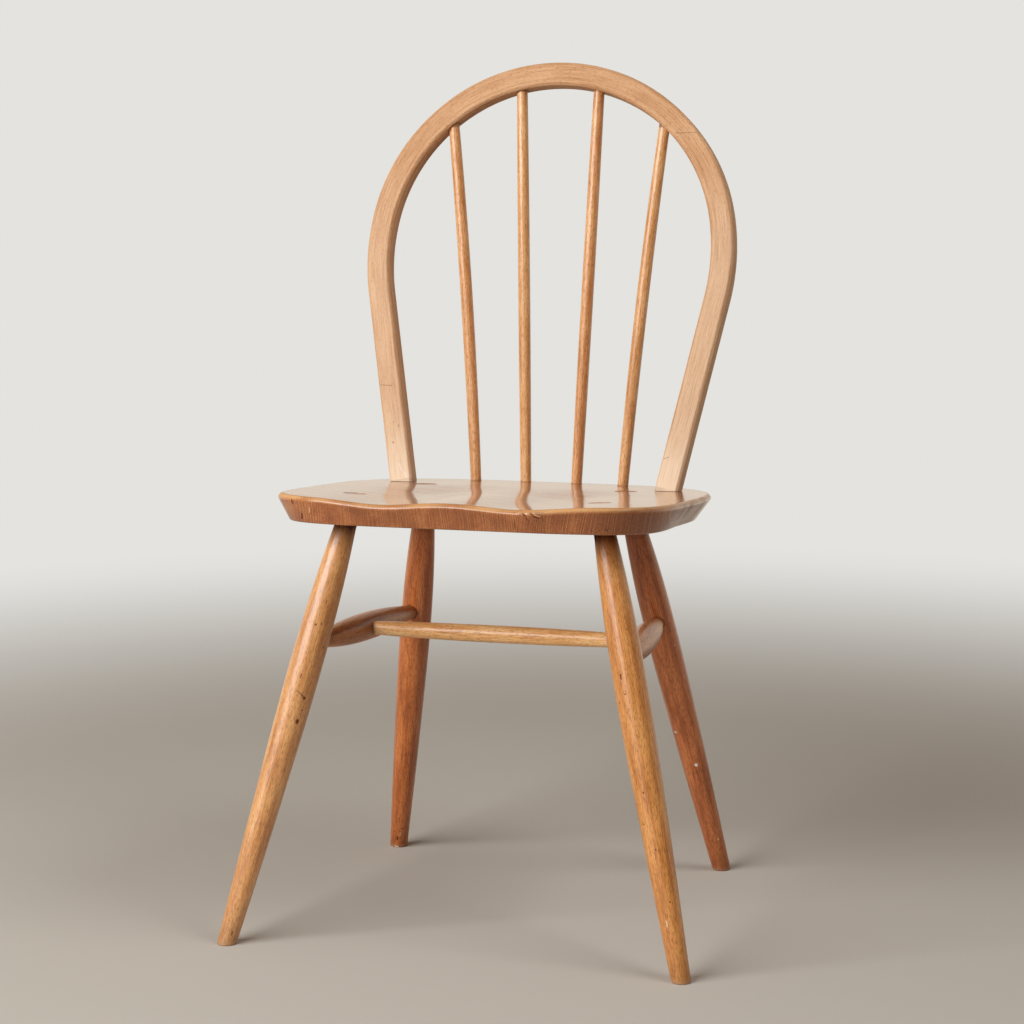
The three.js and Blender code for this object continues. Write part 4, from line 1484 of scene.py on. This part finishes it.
@dataclass
class Underframe:
    """Four splayed legs, wedged into the seat, and the stretchers between them."""

    seat: SeatBoard
    front: LegPlace = LegPlace(side_inset=73.3, edge_inset=93.3, splay_x=104.5, splay_y=-100.8)
    back: LegPlace = LegPlace(side_inset=87.6, edge_inset=114.1, splay_x=74.8, splay_y=113.6)
    foot_radius: float = 9.3
    swell_radius: float = 16.0
    tenon_radius: float = 10.8
    swell_distance: float = 269.0
    lower_taper: float = 1.4
    upper_taper: float = 2.4
    neck_length: float = 8.0
    foot_round: float = 1.4
    wedge_depth: float = 19.0
    side_front_height: float = 289.6
    side_back_height: float = 278.9
    side_radius: float = 14.0
    cross_setback: float = 112.0
    cross_radius: float = 8.9
    stretcher_tenon_radius: float = 7.0
    stretcher_taper: float = 2.2
    stretcher_neck: float = 5.0
    past_axis: float = 4.0
    stretcher_sides: int = 64
    foot_blend: float = 60.0  # height over which the level foot runs out into the leg
    scuff_height: float = 2.0
    scuffed_foot: Fade = Fade(0.3, 4.0)
    # Dirt, and painted shade of the seat's shadow, on the top of each leg
    grime_under_seat: Fade = Fade(1.5, 14.0)
    grime_on_foot: Fade = Fade(0.46, 40.0)
    grime_on_floor: Fade = Fade(0.8, 0.8)
    grime_at_stretcher: Fade = Fade(0.6, 1.5)
    grime_at_host: Fade = Fade(0.6, 2.0)
    tenon_grime: float = 0.35
    leg_marks: dict[str, tuple[LegMark, ...]] = field(default_factory=lambda: LEG_MARKS)
    legs: dict[str, TurnedBar] = field(default_factory=dict)
    stretchers: dict[str, TurnedBar] = field(default_factory=dict)

    def __post_init__(self) -> None:
        """Works out every axis, so that each piece and the sockets that take it agree."""
        for side, sign in SIDES:
            front_y = self.seat.front_y + self.front.edge_inset
            back_y = self.seat.back_y - self.back.edge_inset
            self.legs[f"front_{side}"] = self._leg(f"front_{side}", self.front, front_y, sign)
            self.legs[f"back_{side}"] = self._leg(f"back_{side}", self.back, back_y, sign)
        for side, _ in SIDES:
            start = self._leg_point(f"front_{side}", self.side_front_height)
            end = self._leg_point(f"back_{side}", self.side_back_height)
            self.stretchers[side] = self._stretcher(
                f"side_stretcher_{side}", start, end, self.cross_setback, self.side_radius,
                self.swell_radius,
            )
        meetings = [self.stretchers[side].point_at(self.cross_setback) for side, _ in SIDES]
        span = (meetings[1] - meetings[0]).length
        self.stretchers["cross"] = self._stretcher(
            "cross_stretcher", *meetings, span / 2, self.cross_radius, self.side_radius
        )
        through = 2 * self.seat.thickness
        for leg in self.legs.values():
            under = leg.point_at(leg.length - through)
            socket = round_bar(under, leg.end, self.tenon_radius + JOINT_GAP, 0.0, OVERRUN)
            self.seat.sockets.append((Cut.AWAY, *socket))
            self.seat.joints.append((under, leg.point_at(leg.length + OVERRUN), self.tenon_radius))

    def _leg(self, name: str, place: LegPlace, top_y: float, sign: float) -> TurnedBar:
        """One leg, from the floor to the top of the seat."""
        top_x = self.seat.half_width_at(top_y) - place.side_inset
        start = Vector((sign * (top_x + place.splay_x), top_y + place.splay_y, 0.0))
        end = Vector((sign * top_x, top_y, self.seat.rim_height(top_y)))
        length = (end - start).length
        return TurnedBar(
            name=f"leg_{name}",
            start=start,
            end=end,
            start_radius=self.foot_radius,
            swell_radius=self.swell_radius,
            end_radius=self.tenon_radius,
            swell_at=self.swell_distance,
            start_neck=0.0,
            end_neck=length - self.seat.thickness - self.neck_length,
            start_power=self.lower_taper,
            end_power=self.upper_taper,
            after=OVERRUN,
            seed=len(self.legs) + 11,
        )

    def _leg_point(self, name: str, height: float) -> Vector:
        """The point of a leg's axis at a height above the floor."""
        leg = self.legs[name]
        return leg.start.lerp(leg.end, height / leg.end.z)

    def _stretcher(
        self, name: str, start: Vector, end: Vector, swell_at: float, radius: float, host: float
    ) -> TurnedBar:
        """One stretcher between two axes, with a tenon in a host at each end."""
        neck = host + self.stretcher_neck
        return TurnedBar(
            name=name,
            start=start,
            end=end,
            start_radius=self.stretcher_tenon_radius,
            swell_radius=radius,
            end_radius=self.stretcher_tenon_radius,
            swell_at=swell_at,
            start_neck=neck,
            end_neck=(end - start).length - neck,
            start_power=self.stretcher_taper,
            end_power=self.stretcher_taper,
            before=self.past_axis,
            after=self.past_axis,
            sides=self.stretcher_sides,
            seed=len(self.stretchers) + 31,
        )

    def _socket(self, stretcher: TurnedBar) -> tuple[Cut, np.ndarray, Faces]:
        """The hole that takes a stretcher's tenons."""
        past = self.past_axis + JOINT_GAP
        radius = self.stretcher_tenon_radius + JOINT_GAP
        return (Cut.AWAY, *round_bar(stretcher.start, stretcher.end, radius, past, past))

    def _stand(self, leg: TurnedBar, piece: bpy.types.Object) -> None:
        """Cuts a leg's foot level with the floor and eases its lower edge."""
        points = points_of(piece)
        along = points[:, 2]
        lift = np.clip(along / self.foot_round, 0.0, 1.0)
        radius = np.maximum(np.hypot(points[:, 0], points[:, 1]), 1e-6)
        ease = self.foot_round * (1.0 - np.sqrt(1.0 - (1.0 - lift) ** 2))
        points[:, :2] *= ((radius - ease) / radius)[:, None]
        up = np.array(leg.matrix)[2]
        slide = (points[:, 0] * up[0] + points[:, 1] * up[1]) / up[2]
        points[:, 2] = along - slide * np.clip(1.0 - along / self.foot_blend, 0.0, 1.0) ** 2
        set_points(piece, points)

    def build(self, tree: bpy.types.NodeTree) -> list[tuple[bpy.types.Object, str]]:
        """Makes the legs, their wedges and the stretchers.

        Args:
            tree: the Geometry Nodes tree of a turned bar.

        Returns:
            Each dressed piece with its material slot.
        """
        pieces = []
        finishes = {
            "front_left": LEG_FRONT_LEFT_BEECH,
            "front_right": LEG_FRONT_RIGHT_BEECH,
            "back_left": LEG_BACK_LEFT_BEECH,
            "back_right": LEG_BACK_RIGHT_BEECH,
        }
        wedge_material = WEDGE_WOOD.material()
        for name, leg in self.legs.items():
            side = name.split("_")[1]
            piece = leg.blank(tree)
            self._stand(leg, piece)
            leg.place(piece)
            top = self.seat.tangent(leg.end.x, leg.end.y, -TENON_RECESS)
            span = TOOL_SPAN * self.tenon_radius
            above = block((-span, -span, 0.0), (span, span, TRIM_HEIGHT), top)
            head = leg.matrix @ Matrix.Translation((0, 0, leg.length))
            kerf = wedge_blank(span, self.wedge_depth, JOINT_GAP, head)
            carve(piece, [(Cut.AWAY, *above), (Cut.AWAY, *kerf), self._socket(self.stretchers[side])])
            marks = [mark.on(leg) for mark in self.leg_marks[name]]
            self._dress_leg(leg, piece, finishes[name], side, marks)
            pieces.append((piece, "leg_beech"))

            blank = wedge_blank(span, self.wedge_depth, 0.0, head)
            wedge = mesh_object(f"{DRESSED}leg_wedge_{name}", *blank)
            bore = round_bar(leg.start, leg.end, self.tenon_radius, 0.0, OVERRUN)
            carve(wedge, [(Cut.KEEP, *bore), (Cut.AWAY, *above)])
            plain = np.zeros(len(wedge.data.vertices))
            dress(wedge, wedge_material, leg.own(points_of(wedge)), plain, plain)
            pieces.append((wedge, "wedge_wood"))

        for name, stretcher in self.stretchers.items():
            piece = stretcher.blank(tree)
            stretcher.place(piece)
            if name != "cross":
                carve(piece, [self._socket(self.stretchers["cross"])])
            self._dress_stretcher(stretcher, piece, name)
            pieces.append((piece, "stretcher_beech"))
        return pieces

    def _dress_leg(
        self,
        leg: TurnedBar,
        piece: bpy.types.Object,
        finish: WoodFinish,
        side: str,
        marks: Sequence[Mark],
    ) -> None:
        """Feet are scuffed pale; dirt gathers round the stretcher, and under the seat the leg's top is
        darkened by dirt and by painted shade of the seat's shadow.
        """
        points = points_of(piece)
        own = leg.own(points)
        height = points[:, 2]
        stretcher = self.stretchers[side]
        radius = self.stretcher_tenon_radius
        under = leg.length - self.seat.thickness
        # The first layer is dirt and painted shade of the seat's shadow on the leg's top
        layers = (
            self.grime_under_seat.at(under - own[:, 2]),
            self.grime_on_foot.at(height),
            self.grime_on_floor.at(height),
            near_axis(points, stretcher.start, stretcher.end, radius, self.grime_at_stretcher),
        )
        on_top = own[:, 2] > under + self.seat.thickness / 2
        grime = np.where(on_top, self.tenon_grime, np.max(layers, axis=0))
        wear = self.scuffed_foot.at(height - self.scuff_height)
        dress(piece, finish.material(marks), own, wear, grime, marks)

    def _dress_stretcher(self, stretcher: TurnedBar, piece: bpy.types.Object, name: str) -> None:
        """Dirt gathers where a stretcher goes into its hosts."""
        points = points_of(piece)
        own = stretcher.own(points)
        host = self.side_radius if name == "cross" else self.swell_radius
        finish = CROSS_STRETCHER_LIGHTENED_BEECH if name == "cross" else STRETCHER_BEECH
        outside = np.minimum(own[:, 2], stretcher.length - own[:, 2]) - host
        grime = self.grime_at_host.at(outside)
        dress(piece, finish.material(), own, np.zeros(len(points)), grime)


# Back

@dataclass
class HoopBack:
    """The steam-bent hoop, wedged through the seat, and the four spindles inside it."""

    seat: SeatBoard
    top_angle: float = math.radians(78.9)
    shoulder_radius: float = 230.6
    shoulder_angle: float = math.radians(22.1)
    foot_length: float = 202.1
    width: float = 24.0
    depth: float = 21.0
    edge_round: float = 2.4
    sanded: float = 0.15  # taken off the outer edge, which is rounded less than the solid's
    lean: float = math.radians(15.2)
    foot_side_inset: float = 35.1
    foot_back_inset: float = 91.8
    tenon_radius: float = 8.0
    wedge_depth: float = 16.0
    spindle_radius: float = 6.4
    spindle_end_radius: float = 5.7
    spindle_seat_depth: float = 16.0
    spindle_hoop_depth: float = 13.0
    spindle_taper: float = 2.0
    spindle_sides: int = 40
    hoop_sides: int = 84
    arris_width: float = 2.5
    arris_wear: float = 0.4
    # The limbs grow paler towards the feet: partly worn wood, partly a painted highlight for the lamp's
    # reflection; the right limb more, as painted light for its distance from the lamp
    limb_paling: Place = (0.33, 0.42)  # on the left and on the right
    paling_run: Place = (120.0, 330.0)  # from the top, where it starts and where it is full
    rubbed: Place = (0.6, 0.55)  # on the left foot and on the right one
    rubbed_length: float = 50.0
    front_wear: Fade = Fade(1.0, 1.0)
    back_wear: float = 0.6  # share of the front's paling that the other sides have, painted light that lifts their shade
    foot_grime: Fade = Fade(0.3, 0.7)
    socket_grime: Fade = Fade(0.6, 0.8)
    spindle_grime: Fade = Fade(0.6, 1.0)
    dirt_below: float = 0.1  # share of a spindle's length that its dirt reaches into the seat
    # For each pair: its place, x and inset on the seat, angle on the hoop in degrees, and bow
    spindle_pairs: tuple[tuple[str, float, float, float, float], ...] = (
        ("inner", 27.6, 17.3, 14.0, 0.0),
        ("outer", 79.9, 23.2, 41.4, 2.2),
    )
    # Both ends of each by the distance outwards from the middle line and the run from the top
    face_marks: tuple[tuple[MarkKind, Place, Place, float], ...] = (
        (MarkKind.DARK, (-8.0, 150.0), (11.0, 165.0), 0.3),
        (MarkKind.DARK, (-10.0, 510.0), (-5.5, 507.0), 0.4),
        (MarkKind.DARK, (10.0, -437.0), (-2.0, -440.0), 0.4),
        (MarkKind.DARK, (0.0, -478.0), (0.5, -479.0), 0.5),
        (MarkKind.DARK, (-5.0, -482.0), (-4.5, -484.0), 0.5),
        (MarkKind.DARK, (3.4, -499.0), (3.0, -500.0), 0.9),
        (MarkKind.DARK, (3.7, -29.0), (3.7, -29.5), 0.8),
        (MarkKind.PAINT, (-1.0, -523.0), (-2.0, -530.0), 0.8),
        (MarkKind.PAINT, (-5.0, -533.0), (-7.0, -538.0), 1.0),
    )
    spindles: dict[str, TurnedBar] = field(default_factory=dict)
    feet: dict[str, tuple[Vector, Vector]] = field(default_factory=dict)

    def __post_init__(self) -> None:
        """Works out the hoop's curve and every axis, and cuts their sockets into the seat."""
        self.full_angle = self.top_angle + self.shoulder_angle
        foot_y = self.seat.back_y - self.foot_back_inset
        foot_x = self.seat.half_width_at(foot_y) - self.foot_side_inset
        shoulder = math.sin(self.full_angle) - math.sin(self.top_angle)
        straight = self.foot_length * math.cos(self.full_angle)
        top_reach = foot_x - self.shoulder_radius * shoulder - straight
        self.top_radius = top_reach / math.sin(self.top_angle)
        drop = math.cos(self.top_angle) - math.cos(self.full_angle)
        self.height = (
            self.top_radius * (1 - math.cos(self.top_angle))
            + self.shoulder_radius * drop
            + self.foot_length * math.sin(self.full_angle)
        )
        origin = Vector((0, foot_y, self.seat.rim_height(foot_y)))
        self.matrix = Matrix.Translation(origin) @ Matrix.Rotation(math.pi / 2 - self.lean, 4, "X")
        self.top_arc = (self.top_radius - self.width / 2) * self.top_angle
        self.shoulder_arc = (self.shoulder_radius - self.width / 2) * self.shoulder_angle
        self.half_length = self.top_arc + self.shoulder_arc + self.foot_length
        for side, sign in SIDES:
            self._add_foot(side, sign)
            for pair in self.spindle_pairs:
                self._add_spindle(side, sign, *pair)

    def _add_foot(self, side: str, sign: float) -> None:
        """One end of the hoop: the middle of its foot and the way of its tenon."""
        middle = self.width / 2
        out = math.sin(self.full_angle)
        x = self.top_radius * math.sin(self.top_angle)
        x += self.shoulder_radius * (out - math.sin(self.top_angle))
        x += self.foot_length * math.cos(self.full_angle) - middle * out
        foot = Vector((sign * x, -middle * math.cos(self.full_angle), -self.depth / 2))
        way = Vector((sign * math.cos(self.full_angle), -math.sin(self.full_angle), 0.0))
        end = foot + way * 2 * self.seat.thickness
        start, end = self.matrix @ foot, self.matrix @ end
        self.feet[side] = (start, end)
        socket = round_bar(start, end, self.tenon_radius + JOINT_GAP, OVERRUN, 0.0)
        self.seat.sockets.append((Cut.AWAY, *socket))
        self.seat.joints.append((start - (end - start), end, self.width / 2))

    def _add_spindle(
        self, side: str, sign: float, place: str, x: float, inset: float, angle: float, bow: float
    ) -> None:
        """One spindle from the seat to the middle of the hoop's inner edge."""
        start = self.seat.top_point(sign * x, self.seat.back_edge(x) - inset)
        inner = self.top_radius - self.width
        turn = math.radians(angle)
        up = self.height - self.top_radius + inner * math.cos(turn)
        end = self.matrix @ Vector((sign * inner * math.sin(turn), up, -self.depth / 2))
        length = (end - start).length
        self.spindles[f"{side}_{place}"] = TurnedBar(
            name=f"spindle_{side}_{place}",
            start=start,
            end=end,
            start_radius=self.spindle_end_radius,
            swell_radius=self.spindle_radius,
            end_radius=self.spindle_end_radius,
            swell_at=length / 2,
            start_neck=0.0,
            end_neck=length,
            start_power=self.spindle_taper,
            end_power=self.spindle_taper,
            before=self.spindle_seat_depth,
            after=self.spindle_hoop_depth,
            bow=-sign * bow,
            sides=self.spindle_sides,
            seed=len(self.spindles) + 51,
        )
        radius = self.spindle_end_radius + JOINT_GAP
        socket = round_bar(start, end, radius, self.spindle_seat_depth + JOINT_GAP, 0.0)
        self.seat.sockets.append((Cut.AWAY, *socket))
        below = start - (end - start) * self.dirt_below
        self.seat.joints.append((below, end, self.spindle_end_radius))

    def own(self, points: np.ndarray) -> np.ndarray:
        """Points of the chair as places on the straight bar that the hoop was bent from.

        Args:
            points: points in the chair's frame, one row each.

        Returns:
            For each, the distance outwards from the middle line, the depth behind the front face,
            and the run along the bar from the top, to the right above 0.
        """
        flat = moved(self.matrix.inverted(), points)
        x, y = np.abs(flat[:, 0]), flat[:, 1]
        top_radius = self.top_radius - self.width / 2
        shoulder_radius = self.shoulder_radius - self.width / 2
        centre = self.height - self.top_radius
        top = np.arctan2(x, y - centre)
        gap = self.top_radius - self.shoulder_radius
        side_x = x - gap * math.sin(self.top_angle)
        side_y = y - centre - gap * math.cos(self.top_angle)
        turn = np.arctan2(side_x, side_y)
        out = (math.sin(self.full_angle), math.cos(self.full_angle))
        across = side_x * out[0] + side_y * out[1] - shoulder_radius
        run = side_x * out[1] - side_y * out[0] + self.top_arc + self.shoulder_arc
        on_shoulder = turn < self.full_angle
        across = np.where(on_shoulder, np.hypot(side_x, side_y) - shoulder_radius, across)
        run = np.where(on_shoulder, self.top_arc + shoulder_radius * (turn - self.top_angle), run)
        on_top = top < self.top_angle
        across = np.where(on_top, np.hypot(x, y - centre) - top_radius, across)
        run = np.where(on_top, top_radius * top, run)
        return np.stack([across, -flat[:, 2], run * np.sign(flat[:, 0])], axis=1)

    def build(
        self, bent: bpy.types.NodeTree, turned: bpy.types.NodeTree
    ) -> list[tuple[bpy.types.Object, str]]:
        """Makes the hoop, its wedges and the spindles.

        Args:
            bent: the Geometry Nodes tree of a bent bar.
            turned: the Geometry Nodes tree of a turned bar.

        Returns:
            Each dressed piece with its material slot.
        """
        pieces = []
        half = self.half_length + OVERRUN
        hoop = grow(
            f"{DRESSED}hoop",
            bent,
            {
                "Width": self.width * MM,
                "Depth": self.depth * MM,
                "Edge Radius": self.edge_round * MM,
                "Top Radius": (self.top_radius - self.width / 2) * MM,
                "Top Angle": self.top_angle,
                "Shoulder Radius": (self.shoulder_radius - self.width / 2) * MM,
                "Shoulder Angle": self.shoulder_angle,
                "Top Height": (self.height - self.width / 2 - self.sanded) * MM,
                "Half Length": half * MM,
                "Rings": round(half),
                "Sides": self.hoop_sides,
                "Material": None,
            },
        )
        set_points(hoop, moved(self.matrix, points_of(hoop)))
        wide = (-TRIM_SPAN, -TRIM_SPAN, -TRIM_HEIGHT)
        below = (TRIM_SPAN, TRIM_SPAN, 0.0)
        cuts = [(Cut.AWAY, *block(wide, below, self.seat.under_plane(-JOINT_GAP)))]
        for start, end in self.feet.values():
            cuts.append((Cut.JOIN, *round_bar(start, end, self.tenon_radius, OVERRUN, 0.0)))
        flush = block(wide, below, self.seat.under_plane(self.seat.thickness - TENON_RECESS))
        cuts.append((Cut.AWAY, *flush))
        for spindle in self.spindles.values():
            radius = self.spindle_end_radius + JOINT_GAP
            after = self.spindle_hoop_depth + JOINT_GAP
            cuts.append((Cut.AWAY, *round_bar(spindle.start, spindle.end, radius, 0.0, after)))
        wedge_material = WEDGE_WOOD.material()
        for side, (start, end) in self.feet.items():
            distance = self.seat.thickness / math.cos(self.lean)
            head = axis_matrix(start, end) @ Matrix.Translation((0, 0, distance))
            span = TOOL_SPAN * self.tenon_radius
            cuts.append((Cut.AWAY, *wedge_blank(span, self.wedge_depth, JOINT_GAP, head)))
            blank = wedge_blank(span, self.wedge_depth, 0.0, head)
            wedge = mesh_object(f"{DRESSED}hoop_wedge_{side}", *blank)
            bore = round_bar(start, end, self.tenon_radius, 0.0, OVERRUN)
            carve(wedge, [(Cut.KEEP, *bore), (Cut.AWAY, *flush)])
            plain = np.zeros(len(wedge.data.vertices))
            local = moved(head.inverted(), points_of(wedge))
            dress(wedge, wedge_material, local, plain, plain)
            pieces.append((wedge, "wedge_wood"))
        carve(hoop, cuts)
        self._dress_hoop(hoop)
        pieces.append((hoop, "hoop_beech"))

        finishes = {
            "left_outer": REDDER_SPINDLE_BEECH,
            "left_inner": SPINDLE_BEECH,
            "right_inner": REDDER_SPINDLE_BEECH,
            "right_outer": SPINDLE_BEECH,
        }
        materials = {finish.name: finish.material() for finish in (SPINDLE_BEECH, REDDER_SPINDLE_BEECH)}
        for name, spindle in self.spindles.items():
            piece = spindle.blank(turned)
            spindle.place(piece)
            points = points_of(piece)
            own = spindle.own(points)
            outside = np.minimum(own[:, 2], spindle.length - own[:, 2])
            grime = self.spindle_grime.at(outside)
            grain = own + spindle.seed * np.array(GRAIN_SHIFT)
            dress(piece, materials[finishes[name].name], grain, np.zeros(len(points)), grime)
            pieces.append((piece, "spindle_beech"))
        return pieces

    def _dress_hoop(self, hoop: bpy.types.Object) -> None:
        """The hoop's arrises are rubbed pale; its limbs grow paler towards the feet, partly worn and
        partly painted light; dirt gathers at its feet and round the spindles.
        """
        points = points_of(hoop)
        own = self.own(points)
        across, depth, run = own.T
        beside, behind = self.width / 2, self.depth / 2
        corner_across = smoothstep(np.abs(across), beside - self.arris_width, beside)
        corner_depth = smoothstep(np.abs(depth - behind), behind - self.arris_width, behind)
        arris = self.arris_wear * np.sqrt(corner_across * corner_depth)
        from_foot = np.maximum(self.half_length - np.abs(run), 0.0)
        # Paling towards the feet, full on the front face and less on the others: wear, and painted light
        paled = np.where(run < 0, *self.limb_paling) * smoothstep(np.abs(run), *self.paling_run)
        rubbed = np.where(run < 0, *self.rubbed) * np.exp(-((from_foot / self.rubbed_length) ** 2))
        facing = np.maximum(self.front_wear.at(depth), self.back_wear)
        wear = np.maximum(arris, facing * (paled + rubbed))
        grime = self.foot_grime.at(from_foot)
        radius = self.spindle_end_radius
        for spindle in self.spindles.values():
            past = spindle.point_at(spindle.length + self.spindle_hoop_depth)
            socket = near_axis(points, spindle.start, past, radius, self.socket_grime)
            grime = np.maximum(grime, socket)
        marks = [
            Mark(kind, (out1, 0.0, run1), (out2, 0.0, run2), width)
            for kind, (out1, run1), (out2, run2), width in self.face_marks
        ]
        dress(hoop, HOOP_BEECH.material(marks), own, wear, grime, marks)


# Stage

@dataclass(frozen=True)
class Studio:
    """A pale round sweep, two soft lamps, and a camera where the photograph was taken from.

    Lengths are in metres, except the camera's place, which is in millimetres.
    """

    floor_tone: str = "#c8c3ba"
    far_tone: str = "#8f7d68"
    wall_tone: str = "#e4e3df"
    mirror_tone: str = "#f2e8d8"
    wall_start: float = 0.8
    wall_full: float = 2.2
    floor_reach: float = 2.6
    sweep_radius: float = 1.6
    wall_height: float = 4.0
    sweep_steps: int = 16
    sweep_sides: int = 96
    mirror_depth: Place = (-0.5, 0.5)  # along Y, where mirrored paleness starts and is full
    lamp_place: tuple[float, float, float] = (-1.9, -2.7, 1.95)
    lamp_aim: tuple[float, float, float] = (0.0, 0.0, 0.45)
    lamp_size: tuple[float, float] = (3.1, 1.8)
    lamp_watts: float = 148.0
    fill_place: tuple[float, float, float] = (1.7, -0.5, 2.6)
    fill_size: tuple[float, float] = (1.2, 1.2)
    fill_watts: float = 20.0
    sky_tone: str = "#ffe2c4"
    sky_strength: float = 0.19
    camera_place: tuple[float, float, float] = (854.9, -2840.0, 881.6)
    azimuth: float = 16.68
    pitch: float = 9.16
    roll: float = -0.45
    focal_pixels: float = 3003.0
    image_pixels: float = 1024.0
    sensor: float = 36.0

    def build(self) -> None:
        """Makes the sweep, the light and the camera."""
        self._sweep()
        self._light()
        self._camera()

    def _sweep(self) -> None:
        """The floor and the wall round it, turned as one bowl."""
        profile = [(self.floor_reach * share, 0.0) for share in (0.25, 0.5, 0.75, 1.0)]
        for step in range(1, self.sweep_steps + 1):
            turn = step / self.sweep_steps * math.pi / 2
            reach = self.floor_reach + self.sweep_radius * math.sin(turn)
            profile.append((reach, self.sweep_radius * (1 - math.cos(turn))))
        profile.append((profile[-1][0], self.wall_height))
        count = self.sweep_sides
        turn = np.arange(count) * 2 * np.pi / count
        rings = [
            np.stack([reach * np.cos(turn), reach * np.sin(turn), np.full(count, height)], axis=1)
            for reach, height in profile
        ]
        points = np.vstack([[[0.0, 0.0, 0.0]], *rings]) / MM
        faces: Faces = [(0, 1 + i, 1 + (i + 1) % count) for i in range(count)]
        for ring in range(len(rings) - 1):
            base = 1 + ring * count
            for i in range(count):
                j = (i + 1) % count
                faces.append((base + i, base + count + i, base + count + j, base + j))
        sweep = mesh_object("sweep", points, faces)
        sweep.data.shade_smooth()
        sweep.data.materials.append(self._paper())

    def _paper(self) -> bpy.types.Material:
        """Matt paper that takes shadows on the floor and looks evenly pale further back.

        Its far stretch throws little light on the chair, so that shaded sides stay deep, and
        polished wood mirrors its paleness only where it lies behind the chair.

        Returns:
            The sweep's material.
        """
        material = bpy.data.materials.new("matt_paper_sweep")
        material.use_nodes = True
        tree = material.node_tree
        tree.nodes.clear()
        place = add_node(tree, "ShaderNodeTexCoord").outputs["Object"]
        away = add_node(tree, "ShaderNodeVectorMath", {0: place}, operation="LENGTH").outputs["Value"]
        far = add_node(
            tree,
            "ShaderNodeMapRange",
            {0: away, 1: self.wall_start, 2: self.wall_full},
            interpolation_type="SMOOTHSTEP",
        ).outputs[0]
        ray = add_node(tree, "ShaderNodeLightPath").outputs
        pales = {0: ray["Is Camera Ray"], 6: linear(self.mirror_tone), 7: linear(self.wall_tone)}
        pale = add_node(tree, "ShaderNodeMix", pales, data_type="RGBA").outputs[2]
        glow = add_node(tree, "ShaderNodeEmission", {"Color": pale})
        depth = add_node(tree, "ShaderNodeSeparateXYZ", {0: place}).outputs["Y"]
        known = {"far": far, "depth": depth}
        known |= {"camera": ray["Is Camera Ray"], "gloss": ray["Is Glossy Ray"]}
        rows = [
            ("unseen", "SUBTRACT", 1.0, "camera"),
            ("dimmed", "MULTIPLY", "far", "unseen"),
            ("behind", "RANGE", "depth", *self.mirror_depth),
            ("mirrored", "MULTIPLY", "gloss", "behind"),
            ("seen", "MAXIMUM", "camera", "mirrored"),
            ("share", "MULTIPLY", "far", "seen"),
        ]
        add_rows(tree, known, rows)
        tones = {0: known["dimmed"], 6: linear(self.floor_tone), 7: linear(self.far_tone)}
        tone = add_node(tree, "ShaderNodeMix", tones, data_type="RGBA").outputs[2]
        paper = add_node(tree, "ShaderNodeBsdfDiffuse", {"Color": tone})
        links = {0: known["share"], 1: paper.outputs[0], 2: glow.outputs[0]}
        surface = add_node(tree, "ShaderNodeMixShader", links)
        add_node(tree, "ShaderNodeOutputMaterial", {"Surface": surface.outputs[0]})
        return material

    def _light(self) -> None:
        """A large lamp like a window, a weak one high on the right, and an even warm sky."""
        for name, place, size, watts in (
            ("window_lamp", self.lamp_place, self.lamp_size, self.lamp_watts),
            ("fill_lamp", self.fill_place, self.fill_size, self.fill_watts),
        ):
            lamp = bpy.data.lights.new(name, "AREA")
            lamp.shape = "RECTANGLE"
            lamp.size, lamp.size_y = size
            lamp.energy = watts
            holder = bpy.data.objects.new(name, lamp)
            holder.location = place
            way = Vector(self.lamp_aim) - Vector(place)
            holder.rotation_mode = "QUATERNION"
            holder.rotation_quaternion = way.to_track_quat("-Z", "Y")
            bpy.context.scene.collection.objects.link(holder)
        world = bpy.data.worlds.new("sky")
        world.use_nodes = True
        sky = world.node_tree.nodes["Background"]
        sky.inputs["Color"].default_value = linear(self.sky_tone)
        sky.inputs["Strength"].default_value = self.sky_strength
        bpy.context.scene.world = world

    def _camera(self) -> None:
        """The camera stands where the photograph was taken from."""
        data = bpy.data.cameras.new("camera")
        data.sensor_width = self.sensor
        data.lens = self.focal_pixels / self.image_pixels * self.sensor
        camera = bpy.data.objects.new("camera", data)
        yaw = Matrix.Rotation(math.radians(self.azimuth), 4, "Z")
        nod = Matrix.Rotation(math.radians(90.0 - self.pitch), 4, "X")
        roll = Matrix.Rotation(math.radians(self.roll), 4, "Z")
        camera.matrix_world = Matrix.Translation(Vector(self.camera_place) * MM) @ yaw @ nod @ roll
        bpy.context.scene.collection.objects.link(camera)
        bpy.context.scene.camera = camera


def main() -> None:
    """Builds the chair, dresses it and sets the stage."""
    logging.basicConfig(level=logging.INFO, format="%(name)s %(message)s")
    bpy.context.scene.view_settings.view_transform = "Standard"
    turned, bent = turned_bar_tree(), bent_bar_tree()
    seat = SeatBoard()
    underframe = Underframe(seat)
    back = HoopBack(seat)
    pieces = [*underframe.build(turned), *back.build(bent, turned), (seat.build(), "seat_elm")]
    for piece, slot in pieces:
        hand_over(piece)
    log.info("%d pieces for %d nodes", len(pieces), len(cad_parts))
    Studio().build()


if __name__ == "__main__":
    main()
